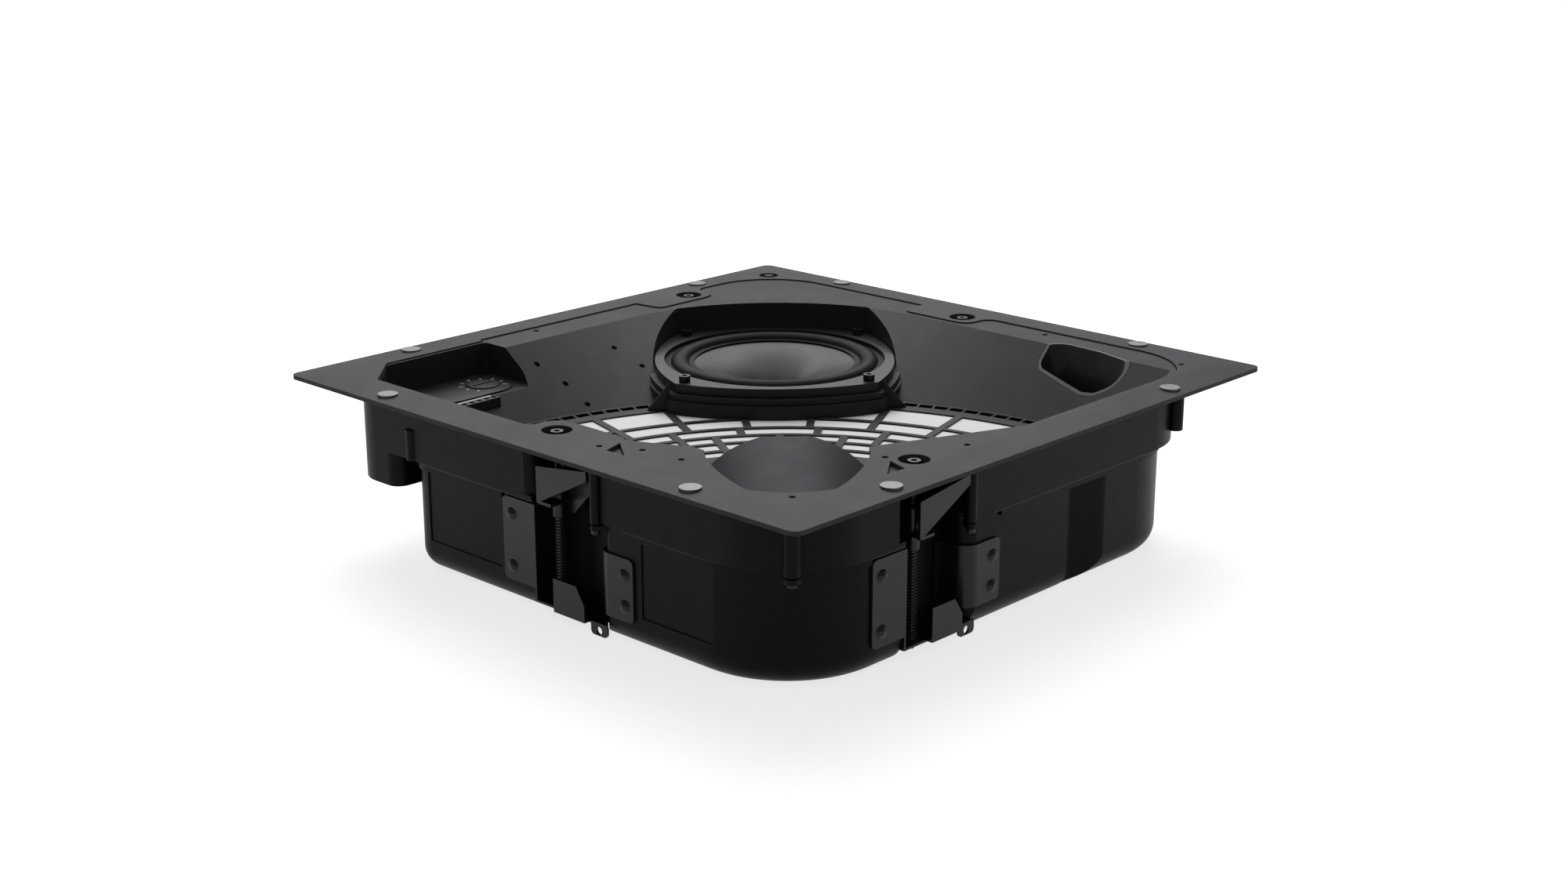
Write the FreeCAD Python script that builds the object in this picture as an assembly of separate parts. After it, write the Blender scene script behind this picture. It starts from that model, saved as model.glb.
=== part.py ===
"""Square flush-mount loudspeaker, lying on its back with its front face up.

Millimetres, +Z up. The origin is the middle of the back can's bottom face. X and Y run along the bezel's sides.
Places near a side or corner are given as insets from the skirt's face, so that they stay with it.
"""
import FreeCAD
import Part

import math
import os

Vector = FreeCAD.Vector
UP = Vector(0, 0, 1)
ORIGIN = Vector(0, 0, 0)

# Bezel
BEZEL_SIDE = 489.0
TOTAL_DEPTH = 127.0
BEZEL_THICK = 3.0
BEZEL_CORNER_R = 6.5
BEZEL_OVERHANG = 27.5
BEVEL_WIDTH = 26.0
BEVEL_RISE = 1.6
BEVEL_INNER_R = 2.0

# Skirt, and the ear that hangs below it at the terminal corner
SKIRT_CORNER_R = 60.0
SKIRT_EAR_CORNER_R = 30.0
SKIRT_WALL = 3.0
SKIRT_DEPTH = 48.5
EAR_LENGTH = 97.0
EAR_WIDTH = 55.0
EAR_DROP = 24.5
EAR_NEAR_R = 10.0
EAR_FAR_R = 6.0
RIB_R = 5.5
RIB_INSET = 3.0
EAR_RIB_ALONG = 72.0
EAR_RIB_HEIGHT = 22.0
CORNER_RIB_ALONG = 33.0
CORNER_RIB_LIFT = 8.5

# Screw bosses at two corners of the skirt and beside its notches
CORNER_BOSS_R = 5.5
CORNER_BOSS_INSET = 15.5
CORNER_LUG_REACH = 14.0
NOTCH_BOSS_R = 3.6
NOTCH_BOSS_ALONG = 46.1
NOTCH_BOSS_OUT = 9.6
NOTCH_LUG_REACH = 9.5
NOTCH_LUG_ANGLE = 50.0
SKIRT_SCREW_R = 1.6
SKIRT_SCREW_HEAD_R = 3.0
SKIRT_SCREW_HEAD = 2.6
SKIRT_SCREW_LENGTH = 16.0
SCREW_TIP_CLEARANCE = 1.0

# Back can
CAN_STEP = 2.0
CAN_CORNER_R = 76.0
CAN_FAR_CORNER_R = 58.0
CAN_WALL = 3.5
CAN_EDGE_FILLET = 16.0
CAN_CUT_LENGTH = 121.0
CAN_CUT_WIDTH = 65.0
CAN_CUT_R = 20.0
CAN_BEAD = 1.8
CAN_BEAD_HEIGHT = 3.5
GASKET_THICK = 1.0
GROOVE_START = 57.0
GROOVE_FLAT = 15.0
GROOVE_RAMP = 26.0
GROOVE_RUN_OUT = 14.0
GROOVE_DEPTH = 10.0
GROOVE_CORNER_R = 3.0
GROOVE_BEND_R = 10.0
GROOVE_EDGE_R = 20.0
PANEL_SINK = 0.8
PANEL_LOW = 23.0
PANEL_TOP_DROP = 3.5
PANELS = ((52.0, 129.0), (-148.0, -85.0))

# Swing clamps: angle of the bezel side, and the screw's place along it
CLAMPS = {"front": (0, -98.0), "right": (90, 0.0), "back": (180, -114.0), "left": (270, 0.0)}
CLAMP_INSET = 7.0
NOTCH_LONG = 49.0
NOTCH_LONG_IN = 46.0
NOTCH_SHORT = 17.2
NOTCH_IN = 15.2
NOTCH_LONG_R = 4.0
NOTCH_LONG_IN_R = 6.0
NOTCH_SHORT_IN_R = 12.0
NOTCH_SHORT_R = 10.0
NOTCH_RUN_OUT = 12.0
FACE_RUN_OUT = 0.6
RECESS_R = 10.2
RECESS_DEPTH = 6.0
BUSH_R = 13.0
BUSH_DROP = 14.0
SCREW_R = 2.0
SCREW_FLANGE_R = 6.0
SCREW_FLANGE = 1.2
SCREW_HEAD_R = 4.2
SCREW_HEAD_HEIGHT = 4.0
SCREW_SOCKET_AF = 4.0
SCREW_SOCKET_DEPTH = 2.4
SCREW_TIP_HEIGHT = 3.2
RUN_CLEARANCE = 0.06
SEAT_CLEARANCE = 0.3

# Clamp arm: a channel outside the skirt, on a tube that turns and slides on the screw
ARM_LENGTH = 41.0
ARM_BACK = 7.8
ARM_OUT = 12.5
ARM_IN = 6.0
ARM_SHEET = 2.0
ARM_TOP_DROP = 21.8
ARM_FOOT_DROP = 47.0
ARM_TIP_TOP_DROP = 15.2
ARM_TIP_LOW_DROP = 21.8
ARM_CHEEK_BACK = 6.0
ARM_CHEEK_HEEL = 10.0
ARM_CHEEK_FOOT_DROP = 54.0
ARM_TUBE_R = 4.5
ARM_TUBE_TOP_DROP = 25.0
ARM_TUBE_FOOT_DROP = 56.5
ARM_LUG_DROP = 26.5
ARM_WEB_START = 3.0

# Clamp bracket: one folded sheet, riveted to the can
BRACKET_SHEET = 1.6
BRACKET_WING_END = -47.5
BRACKET_FOLD_SHORT = -16.8
BRACKET_WEB_START = 39.0
BRACKET_FOLD_LONG = 46.0
BRACKET_FOLD_R = 9.5
BRACKET_FAR_WING_START = 60.0
BRACKET_FAR_WING_END = 78.5
BRACKET_IN = 15.0
BRACKET_FLOOR = 8.0
BRACKET_FLOOR_CUT = 6.0
BRACKET_WING_LOW = 17.5
BRACKET_WING_DROP = 1.5
BRACKET_FAR_DROP = 17.2
BRACKET_CORNER_R = 4.0
BRACKET_STOP_LOW = 6.0
BRACKET_STOP_HIGH = 36.0
BRACKET_STOP_OUT = 11.0
BRACKET_STOP_TOP = 31.5
BRACKET_STOP_SLOPE = 12.0
BRACKET_STOP_SLANT = 7.8
TAB_MIDDLE = 45.5
TAB_WIDTH = 15.5
TAB_LOW = 0.8
TAB_HOLE_R = 2.75
TAB_CORNER_R = 3.0
CAVITY_CLEARANCE = 0.4
CAVITY_CORNER_R = 0.3
CAVITY_EDGE_R = 12.0
RIVET_NEAR = -38.7
RIVET_FAR = 70.5
RIVET_LOW_LIFT = 10.3
RIVET_TOP_DROP = 11.8
RIVET_R = 2.0
RIVET_HEAD_R = 4.7
RIVET_HEAD_HEIGHT = 2.6
RIVET_TAIL_R = 3.2
RIVET_TAIL = 1.0
SPRING_R = 3.1
SPRING_WIRE = 0.85

# Baffle insert
LIP_CLEARANCE = 0.3
LIP_SEAM = 0.8
LIP_OVERLAP = 0.2
LIP_CORNER_R = 58.0
LIP_THICK = 3.0
RIM_STEP = 1.0
RIM_WIDTH = 28.2
CREASE_R = 159.0
DISH_MARGIN = 20.0
GUIDE_INSET = 62.0
GUIDE_R = 290.0
GRILLE_DEPTH = 40.0
BAFFLE_THICK = 3.0

# Terminal pocket: a level floor cut into the slope, walled on the skirt's sides
POCKET_INSET = 5.6
POCKET_LENGTH = 117.4
POCKET_WIDTH = 63.4
POCKET_CORNER_R = 26.0
POCKET_EDGE_R = 3.0
POCKET_CHAMFER = 26.0
POCKET_DEPTH = 22.5
PLATE_START = 32.0
PLATE_IN = 28.4
PLATE_R = 21.5
PLATE_THICK = 1.2
PLATE_EDGE_R = 0.5
HUB_R = 15.0
HUB_DEPTH = 12.0
KNOB_ALONG = 90.4
KNOB_R = 12.0
KNOB_PROUD = 0.9
KNOB_SINK = 3.0
KNOB_EDGE_R = 0.6
KNOB_SHAFT_R = 3.0
KNOB_SHAFT_LENGTH = 7.0
KNOB_SLOT_WIDTH = 1.8
KNOB_SLOT_DEPTH = 0.6
KNOB_SLOT_MARGIN = 3.0
TERMINAL_ALONG = 39.4
TERMINAL_IN = 54.9
TERMINAL_LENGTH = 40.0
TERMINAL_WIDTH = 7.0
TERMINAL_HEIGHT = 10.5
TERMINAL_PROUD = 1.0
TERMINAL_WAYS = 6
TERMINAL_WAY_R = 2.0
TERMINAL_WAY_DEPTH = 4.5

# Bass port: corners of its throat and of its mouth, as insets from the right corner with a corner radius
PORT_THROAT = (
    (46.0, 113.0, 6.0), (28.0, 112.0, 8.0), (30.0, 77.0, 20.0),
    (42.0, 42.0, 8.0), (55.0, 59.0, 6.0), (56.0, 69.0, 6.0),
)
PORT_MOUTH = (
    (44.0, 121.0, 8.0), (16.0, 119.0, 14.0), (19.0, 78.0, 30.0),
    (33.0, 28.0, 12.0), (56.0, 58.0, 6.0), (57.0, 69.0, 6.0),
)
PORT_WALL = 2.4
PORT_LENGTH = 75.0
PORT_FLARE_DEPTH = 30.0
PORT_FLARE_MIDDLE = 13.0
PORT_FLARE_SHARE = 0.3
PORT_FLARE_RISE = 4.0

# Front shelf of the bezel frame as insets from the front corner, and the fan-shaped mouth of the guide's throat
SHELF_LEFT = ((24.0, 223.0), (24.0, 189.0), (22.4, 172.0), (33.2, 148.0), (43.2, 128.0), (43.2, 116.6))
SHELF_RIGHT = ((118.2, 46.6), (130.0, 42.4), (231.6, 0.0))
THROAT_HALF_WIDTH = 51.8
THROAT_FAR = 117.9
THROAT_SHOULDER = 103.9
THROAT_MIDDLE = (68.9, 43.0)
THROAT_NEAR_CORNER = (32.9, 26.0)
THROAT_NEAR = 27.9
COVER_CLEARANCE = 0.4
COVER_WALL = 3.0
COVER_FAR = 129.9
COVER_NEAR_R = 62.0
COVER_FAR_R = 67.6
COVER_CREST_NEAR = 1.0
COVER_FLAT = 5.0

# Guide grille: rows of windows as inner radius, outer radius and rib angles from the diagonal
GRILLE_THICK = 1.2
GRILLE_ROWS = (
    (236.9, 268.5, (-41.0, -29.3, -17.5, -5.9, 5.9, 17.5, 29.3, 41.0)),
    (214.4, 232.8, (-41.0, -29.3, -17.5, -5.9, 5.9, 17.5, 29.3, 41.0)),
    (196.8, 210.3, (-34.5, -21.2, -7.7, 7.7, 21.2, 34.5)),
    (180.9, 192.7, (-34.5, -21.2, -13.6, 0.0, 13.6, 21.2, 34.5)),
    (164.1, 177.1, (-27.0, -13.6, 0.0, 13.6, 27.0)),
    (149.0, 160.1, (-27.0, -13.6, 0.0, 13.6, 27.0)),
)
GRILLE_RIB = 5.5
GRILLE_SPREAD = 43.0
SLOT_INNER_R = 279.5
SLOT_OUTER_R = 287.0
SLOT_RIB = 1.6
SLOT_STEP = 2.4
SPOKE_MARGIN = 5.0
SCREEN_R = 274.0
SCREEN_THICK = 1.0
TRAY_DEPTH = 22.0
TRAY_WALL = 2.5
TRAY_CLEARANCE = 1.0
DRIVER_ALONG = 80.0
DRIVER_THROAT_R = 12.5
DRIVER_R = 37.0
DRIVER_FLANGE_R = 33.0
DRIVER_FLANGE = 6.0
DRIVER_BODY = 26.0
DRIVER_CAP_R = 27.0
DRIVER_CAP = 9.0

# Woofer, on the diagonal, with a bowed square basket
WOOFER_S = 110.0
WOOFER_DEPTH = 19.5
BASKET_HALF = 91.0
BASKET_CORNER = 74.0
BASKET_FLANGE = 7.0
BASKET_SHEET = 3.0
BASKET_MOUTH_R = 79.5
BASKET_NECK_R = 84.0
BASKET_NECK = 6.0
BASKET_TAPER = 2.0
BASKET_FOOT_R = 56.0
BASKET_DEPTH = 58.5
BASKET_WINDOWS = 6
BASKET_WINDOW_WIDTH = 44.0
BASKET_BAND = 5.0
BASKET_WINDOW_MARGIN = 1.0
SPIDER_LEDGE = 5.0
SPIDER_LEDGE_CLEARANCE = 0.5
WELL_CLEARANCE = 1.5
WELL_WALL = 3.0
COLLAR_FOOT_HEIGHT = 9.0
COLLAR_STEP = 2.0
COLLAR_GROOVE = 1.5
COLLAR_GROOVE_HEIGHT = 3.0
GUSSET_ALONG = 70.0
GUSSET_START = 78.5
GUSSET_END = 95.0
GUSSET_THICK = 2.5
MOUNT_THICK = 4.0
WOOFER_SCREW_AT = 67.5
WOOFER_SCREW_R = 2.0
WOOFER_SCREW_HOLE_CLEARANCE = 0.1
WOOFER_SCREW_HEAD_R = 4.2
WOOFER_SCREW_HEAD = 4.5
WOOFER_SCREW_SOCKET_R = 2.1
WOOFER_SCREW_SOCKET = 2.2
WOOFER_SCREW_LENGTH = 12.0
SURROUND_SINK = 4.0
SURROUND_SEAT_R = 84.0
SURROUND_ROLL_MIDDLE_R = 72.0
SURROUND_ROLL_WIDTH = 7.0
SURROUND_ROLL_HEIGHT = 4.2
SURROUND_THICK = 1.2
CONE_R = 64.0
CONE_LIP = 3.0
CONE_MIDDLE_R = 42.0
CONE_MIDDLE_DROP = 5.5
CONE_NECK_DEPTH = 24.0
CONE_THICK = 1.2
CONE_BEND_THICK = 1.45
CONE_NECK_THICK = 2.4
COIL_R = 17.0
COIL_FORMER = 0.6
COIL_WIRE = 0.8
COIL_HEIGHT = 12.0
COIL_DEPTH = 69.0
CAP_DISH = 4.5
SPIDER_DEPTH = 40.0
SPIDER_R = 60.0
SPIDER_RIM = 4.0
SPIDER_WAVE = 3.0
SPIDER_WAVES = 4
SPIDER_THICK = 1.0
POLE_R = 16.3
GAP_R = 19.3
TOP_PLATE_R = 48.0
TOP_PLATE = 6.0
MAGNET_R = 54.0
MAGNET_INNER_R = 25.0
MAGNET = 16.0
BACK_PLATE = 6.0

# Grille magnets, as insets from the bezel's edge and corner
MAGNET_DISC_R = 7.0
MAGNET_DISC_PROUD = 2.2
MAGNET_DISC_THICK = 3.0
MAGNET_DISC_INSET = 12.8
MAGNET_DISC_ALONG = 97.3

# Parts on the can's floor
BOARD_CORNER = (-178.0, 10.0)
BOARD_SIZE = (120.0, 84.0)
BOARD_THICK = 1.6
BOARD_LIFT = 8.0
BOARD_POST_R = 4.0
BOARD_POST_INSET = 8.0
CHOKES = ((26.0, 42.0, 16.0, 14.0), (62.0, 56.0, 12.0, 12.0))
CAPACITOR_R = 7.0
CAPACITOR_HEIGHT = 22.0
CAPACITOR_START = (64.0, 24.0)
CAPACITOR_PITCH = 17.0
CAPACITORS = 3
TRANSFORMER_CORNER = (40.0, -150.0)
TRANSFORMER_SIZE = (56.0, 46.0, 34.0)
TRANSFORMER_COIL = 9.0
TRANSFORMER_COIL_WIDTH = 28.0
TRANSFORMER_COIL_INSET = 5.0
TRANSFORMER_COIL_R = 4.0

# Holes and recesses in the front: corner signs, then insets from that corner's two sides
PILOT_R = 2.2
FRAME_PILOTS = (
    (-1, -1, 164.9, 4.0), (-1, -1, 4.0, 170.9), (-1, -1, 17.0, 144.9), (-1, -1, 20.0, 113.2), (-1, -1, 14.0, 14.0),
    (-1, -1, 109.9, 24.9), (1, -1, 12.4, 13.9),
)
RIM_PILOTS = ((-1, 1, 171.6, 6.4), (1, 1, 150.8, 4.5), (1, 1, 4.5, 169.8), (1, -1, 6.8, 138.9))
SLOPE_PILOTS = (
    (-1, 1, 138.0, 46.0), (-1, 1, 209.5, 52.0), (-1, 1, 215.0, 77.0),
    (-1, 1, 147.0, 67.0), (-1, 1, 149.0, 88.5),
)
CLIP_RECESSES = (((106.4, 17.6), (101.0, 1.1), (84.6, 1.5)), ((17.6, 166.4), (1.1, 161.0), (1.5, 144.6)))
CLIP_RECESS_DEPTH = 3.0
CORNER_RECESS_INSET = 7.0
CORNER_RECESS_R = 8.0
CORNER_RECESS_PIN_R = 3.5
CORNER_RECESS_DEPTH = 2.4

# Places worked out from the sizes above
SKIRT_HALF = BEZEL_SIDE / 2 - BEZEL_OVERHANG
CAN_HALF = SKIRT_HALF - CAN_STEP
CLAMP_REACH = CAN_HALF - CLAMP_INSET
LIP_HALF = SKIRT_HALF + LIP_OVERLAP
CREASE_LINE = LIP_HALF - RIM_WIDTH
GUIDE_CENTRE = GUIDE_INSET - SKIRT_HALF
FRONT_CORNER_S = -SKIRT_HALF * math.sqrt(2)
CAN_CUT_X = CAN_CUT_LENGTH - CAN_HALF
CAN_CUT_Y = CAN_HALF - CAN_CUT_WIDTH
POCKET_EDGE = SKIRT_HALF - POCKET_INSET
POCKET_HIGH_X = POCKET_LENGTH - POCKET_EDGE
POCKET_LOW_Y = POCKET_EDGE - POCKET_WIDTH
KNOB_X = KNOB_ALONG - POCKET_EDGE
PLATE_Y = POCKET_EDGE - PLATE_IN
TERMINAL_LOW_X = TERMINAL_ALONG - POCKET_EDGE
TERMINAL_LOW_Y = POCKET_EDGE - TERMINAL_IN - TERMINAL_WIDTH
SKIRT_FACE = CLAMP_REACH - SKIRT_HALF
CAN_FACE = CLAMP_REACH - CAN_HALF

# Heights worked out from the sizes above
EDGE_TOP = TOTAL_DEPTH
FACE = EDGE_TOP + BEVEL_RISE
BEZEL_BACK = EDGE_TOP - BEZEL_THICK
SKIRT_FOOT = EDGE_TOP - SKIRT_DEPTH
CAN_RIM = SKIRT_FOOT - GASKET_THICK
RIM_FACE = FACE - RIM_STEP
LIP_SEAT = RIM_FACE - LIP_THICK
GRILLE_TOP = EDGE_TOP - GRILLE_DEPTH
GRILLE_BACK = GRILLE_TOP - GRILLE_THICK
SCREEN_BACK = GRILLE_BACK - SCREEN_THICK
TRAY_BACK = SCREEN_BACK - TRAY_DEPTH
WOOFER_FACE = EDGE_TOP - WOOFER_DEPTH
CONE_TOP = WOOFER_FACE - SURROUND_SINK
BASKET_SEAT = WOOFER_FACE - BASKET_FLANGE
BASKET_FOOT = WOOFER_FACE - BASKET_DEPTH
COLLAR_FOOT_TOP = GRILLE_TOP + COLLAR_FOOT_HEIGHT
POCKET_FLOOR = EDGE_TOP - POCKET_DEPTH
PLATE_FACE = POCKET_FLOOR + PLATE_THICK
CLAMP_RECESS = FACE - RECESS_DEPTH
BRACKET_WING_TOP = CAN_RIM - BRACKET_WING_DROP
BRACKET_FAR_TOP = CAN_RIM - BRACKET_FAR_DROP
RIVET_PLACES = (
    (RIVET_NEAR, BRACKET_WING_LOW + RIVET_LOW_LIFT),
    (RIVET_NEAR, BRACKET_WING_TOP - RIVET_TOP_DROP),
    (RIVET_FAR, BRACKET_WING_LOW + RIVET_LOW_LIFT),
    (RIVET_FAR, BRACKET_FAR_TOP - RIVET_TOP_DROP),
)

# Reaches past the part, for cuts that go right through
ABOVE = FACE + TOTAL_DEPTH
BELOW = -TOTAL_DEPTH
FAR = BEZEL_SIDE
TOUCH = 1e-6


def outline(corners):
    """A flat face from corners given as x, y and corner radius, taken anticlockwise or clockwise."""
    count = len(corners)
    starts = []
    ends = []
    arcs = []
    for index in range(count):
        x, y, radius = corners[index]
        here = Vector(x, y, 0)
        before = Vector(*corners[index - 1][:2], 0)
        after = Vector(*corners[(index + 1) % count][:2], 0)
        to_before = (before - here).normalize()
        to_after = (after - here).normalize()
        half = to_before.getAngle(to_after) / 2
        if radius == 0:
            starts.append(here)
            ends.append(here)
            arcs.append(None)
            continue
        reach = radius / math.tan(half)
        middle = (to_before + to_after).normalize() * (radius / math.sin(half) - radius)
        starts.append(here + to_before * reach)
        ends.append(here + to_after * reach)
        arcs.append(here + middle)
    edges = []
    for index in range(count):
        if arcs[index] is not None:
            edges.append(Part.Arc(starts[index], arcs[index], ends[index]).toShape())
        following = (index + 1) % count
        if ends[index].distanceToPoint(starts[following]) > TOUCH:
            edges.append(Part.LineSegment(ends[index], starts[following]).toShape())
    return Part.Face(Part.Wire(edges))


def rectangle(low_x, low_y, high_x, high_y):
    return outline([(low_x, low_y, 0), (high_x, low_y, 0), (high_x, high_y, 0), (low_x, high_y, 0)])


def square(side, radius):
    half = side / 2
    return outline([(-half, -half, radius), (half, -half, radius), (half, half, radius), (-half, half, radius)])


def disc(radius, x=0.0, y=0.0):
    return Part.Face(Part.Wire(Part.makeCircle(radius, Vector(x, y, 0))))


def annulus(inner, outer, x=0.0, y=0.0):
    return disc(outer, x, y).cut(disc(inner, x, y)).Faces[0]


def slab(face, low, high):
    """The flat face raised into a solid between two heights."""
    solids = []
    for part in face.Faces:
        placed = part.copy()
        placed.translate(Vector(0, 0, low))
        solids.append(placed.extrude(Vector(0, 0, high - low)))
    if len(solids) == 1:
        return solids[0]
    return Part.makeCompound(solids)


def upright(points, near, far):
    """A polygon of x and height pairs, raised into a solid between two places along Y."""
    corners = [Vector(along, near, height) for along, height in points]
    return Part.Face(Part.makePolygon(corners + corners[:1])).extrude(Vector(0, far - near, 0))


def block(low, high):
    size = Vector(*high) - Vector(*low)
    return Part.makeBox(size.x, size.y, size.z, Vector(*low))


def post(radius, low, high, x=0.0, y=0.0):
    return Part.makeCylinder(radius, high - low, Vector(x, y, low))


def turned(edges):
    """A closed profile in the XZ plane, turned about the Z axis."""
    return Part.Face(Part.Wire(edges)).revolve(ORIGIN, UP, 360)


def profile(*points):
    """Straight edges in the XZ plane through the radius and height pairs, closed."""
    corners = [Vector(radius, 0, height) for radius, height in points]
    return [Part.LineSegment(corners[i - 1], corners[i]).toShape() for i in range(len(corners))]


def arc_xz(start, middle, end):
    points = [Vector(radius, 0, height) for radius, height in (start, middle, end)]
    return Part.Arc(*points).toShape()


def line_xz(start, end):
    return Part.LineSegment(Vector(start[0], 0, start[1]), Vector(end[0], 0, end[1])).toShape()


def grown(face, amount):
    return face.makeOffset2D(amount).Faces[0]


def largest_face(shape):
    return max(shape.Faces, key=lambda face: face.Area)


def fused(pieces):
    whole = pieces[0]
    for piece in pieces[1:]:
        whole = whole.fuse(piece)
    merged = whole.removeSplitter()
    if merged.isValid():
        return merged
    return whole


def cleared(body, tools):
    return body.cut(Part.makeCompound(tools))


def from_corner(x_sign, y_sign, inset_x, inset_y):
    """Place inside one corner of the skirt, by the insets from its two faces."""
    return x_sign * (SKIRT_HALF - inset_x), y_sign * (SKIRT_HALF - inset_y)


def at_clamp(shape, clamp):
    """A piece drawn about the screw, with the wall towards -Y, put at one of the four clamps."""
    angle, along = CLAMPS[clamp]
    placed = shape.copy()
    placed.translate(Vector(along, -CLAMP_REACH, 0))
    placed.rotate(ORIGIN, UP, angle)
    return placed


def at_all_clamps(shape):
    return [at_clamp(shape, clamp) for clamp in CLAMPS]


def on_diagonal(shape, along):
    """A piece drawn about the origin with +X towards the far corner, moved out along the diagonal."""
    placed = shape.copy()
    placed.translate(Vector(along, 0, 0))
    placed.rotate(ORIGIN, UP, 45)
    return placed


# Plan outlines shared by the pieces
def notch_outline():
    """Plan of the hollow that an arm swings in, about its screw."""
    run_out = -NOTCH_SHORT - NOTCH_RUN_OUT
    return outline([
        (NOTCH_LONG, -FAR / 4, 0),
        (NOTCH_LONG, SKIRT_FACE, NOTCH_LONG_R),
        (NOTCH_LONG_IN, NOTCH_IN, NOTCH_LONG_IN_R),
        (-NOTCH_SHORT, NOTCH_IN, NOTCH_SHORT_IN_R),
        (-NOTCH_SHORT, SKIRT_FACE, NOTCH_SHORT_R),
        (run_out, SKIRT_FACE - FACE_RUN_OUT, 0),
        (run_out, -FAR / 4, 0),
    ])


def skirt_square():
    half = SKIRT_HALF
    return outline([
        (-half, -half, SKIRT_CORNER_R),
        (half, -half, SKIRT_CORNER_R),
        (half, half, SKIRT_CORNER_R),
        (-half, half, SKIRT_EAR_CORNER_R),
    ])


def skirt_outline():
    return largest_face(cleared(skirt_square(), at_all_clamps(notch_outline())))


def foot_outline():
    """Plan of the skirt's foot, open only where the can's cavities rise to it."""
    return largest_face(cleared(skirt_square(), at_all_clamps(cavity_outline())))


def can_outline():
    half = CAN_HALF
    return outline([
        (-half, -half, CAN_CORNER_R),
        (half, -half, CAN_CORNER_R),
        (half, half, CAN_FAR_CORNER_R),
        (CAN_CUT_X, half, CAN_CUT_R),
        (CAN_CUT_X, CAN_CUT_Y, CAN_CUT_R),
        (-half, CAN_CUT_Y, CAN_CUT_R),
    ])


def cavity_outline():
    """Plan of the hollow in the can's wall that holds a bracket, about its screw."""
    inner = BRACKET_IN + CAVITY_CLEARANCE
    low = BRACKET_FOLD_SHORT - CAVITY_CLEARANCE
    high = BRACKET_FOLD_LONG + CAVITY_CLEARANCE
    run_out = high + 2 * CAVITY_EDGE_R
    return outline([
        (low, -FAR / 4, 0),
        (run_out, -FAR / 4, 0),
        (run_out, CAN_FACE - FACE_RUN_OUT, 0),
        (high, CAN_FACE, CAVITY_EDGE_R),
        (high, inner, CAVITY_CORNER_R),
        (low, inner, CAVITY_CORNER_R),
    ])


def groove_outline():
    """Plan of the groove in the can's near side: one sharp wall and one long ramp."""
    face = -CAN_HALF
    flat_end = GROOVE_START + GROOVE_FLAT
    ramp_end = flat_end + GROOVE_RAMP
    run_out = ramp_end + GROOVE_RUN_OUT
    return outline([
        (GROOVE_START, face - GROOVE_DEPTH, 0),
        (GROOVE_START, face + GROOVE_DEPTH, GROOVE_CORNER_R),
        (flat_end, face + GROOVE_DEPTH, GROOVE_BEND_R),
        (ramp_end, face, GROOVE_EDGE_R),
        (run_out, face - FACE_RUN_OUT, 0),
        (run_out, face - GROOVE_DEPTH, 0),
    ])


def lug_outlines():
    """Plans of the can's screw lugs, each a round end and a bar back to the wall."""
    def lug(radius, reach, angle, x, y):
        shapes = [disc(radius), rectangle(0, -radius, reach, radius)]
        for shape in shapes:
            shape.rotate(ORIGIN, UP, angle)
            shape.translate(Vector(x, y, 0))
        return shapes

    inset = CORNER_BOSS_INSET
    plans = lug(CORNER_BOSS_R, CORNER_LUG_REACH, 45, *from_corner(-1, -1, inset, inset))
    plans += lug(CORNER_BOSS_R, CORNER_LUG_REACH, 225, *from_corner(1, 1, inset, inset))
    for shape in lug(NOTCH_BOSS_R, NOTCH_LUG_REACH, NOTCH_LUG_ANGLE, NOTCH_BOSS_ALONG, -NOTCH_BOSS_OUT):
        plans += at_all_clamps(shape)
    return plans


def pocket_outline():
    edge = POCKET_EDGE
    return outline([
        (-edge, POCKET_LOW_Y, POCKET_EDGE_R),
        (POCKET_HIGH_X, POCKET_LOW_Y, POCKET_CORNER_R),
        (POCKET_HIGH_X, edge, POCKET_EDGE_R),
        (POCKET_CHAMFER - edge, edge, POCKET_EDGE_R),
        (-edge, edge - POCKET_CHAMFER, POCKET_EDGE_R),
    ])


def pocket_corner():
    """Plan of the frame's corner plate beyond the pocket's chamfer."""
    half = SKIRT_HALF
    reach = 2 * POCKET_EDGE - POCKET_CHAMFER - half
    return outline([(-half, reach, 0), (-reach, half, 0), (-half, half, 0)])


def woofer_outline():
    """Bowed square of the basket's flange, about its own centre."""
    half = BASKET_HALF
    corner = BASKET_CORNER
    side = Part.Arc(Vector(corner, -corner, 0), Vector(half, 0, 0), Vector(corner, corner, 0)).toShape()
    edges = [side.copy() for turn in range(4)]
    for turn, edge in enumerate(edges):
        edge.rotate(ORIGIN, UP, 90 * turn)
    return Part.Face(Part.Wire(edges))


def throat_outline():
    """Fan-shaped opening over the throat, with X along the diagonal from the front corner."""
    near = Vector(THROAT_NEAR, 0, 0)
    ends = []
    flanks = []
    for side in (-1, 1):
        wide = side * THROAT_HALF_WIDTH
        shoulder = Vector(THROAT_SHOULDER, wide, 0)
        middle = Vector(THROAT_MIDDLE[0], side * THROAT_MIDDLE[1], 0)
        corner = Vector(THROAT_NEAR_CORNER[0], side * THROAT_NEAR_CORNER[1], 0)
        flanks.append(Part.LineSegment(Vector(THROAT_FAR, wide, 0), shoulder).toShape())
        flanks.append(Part.Arc(shoulder, middle, corner).toShape())
        ends.append((Vector(THROAT_FAR, wide, 0), corner))
    far = Part.LineSegment(ends[0][0], ends[1][0]).toShape()
    round_end = Part.Arc(ends[0][1], near, ends[1][1]).toShape()
    edges = Part.__sortEdges__(flanks + [far, round_end])
    return Part.Face(Part.Wire(edges))


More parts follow.
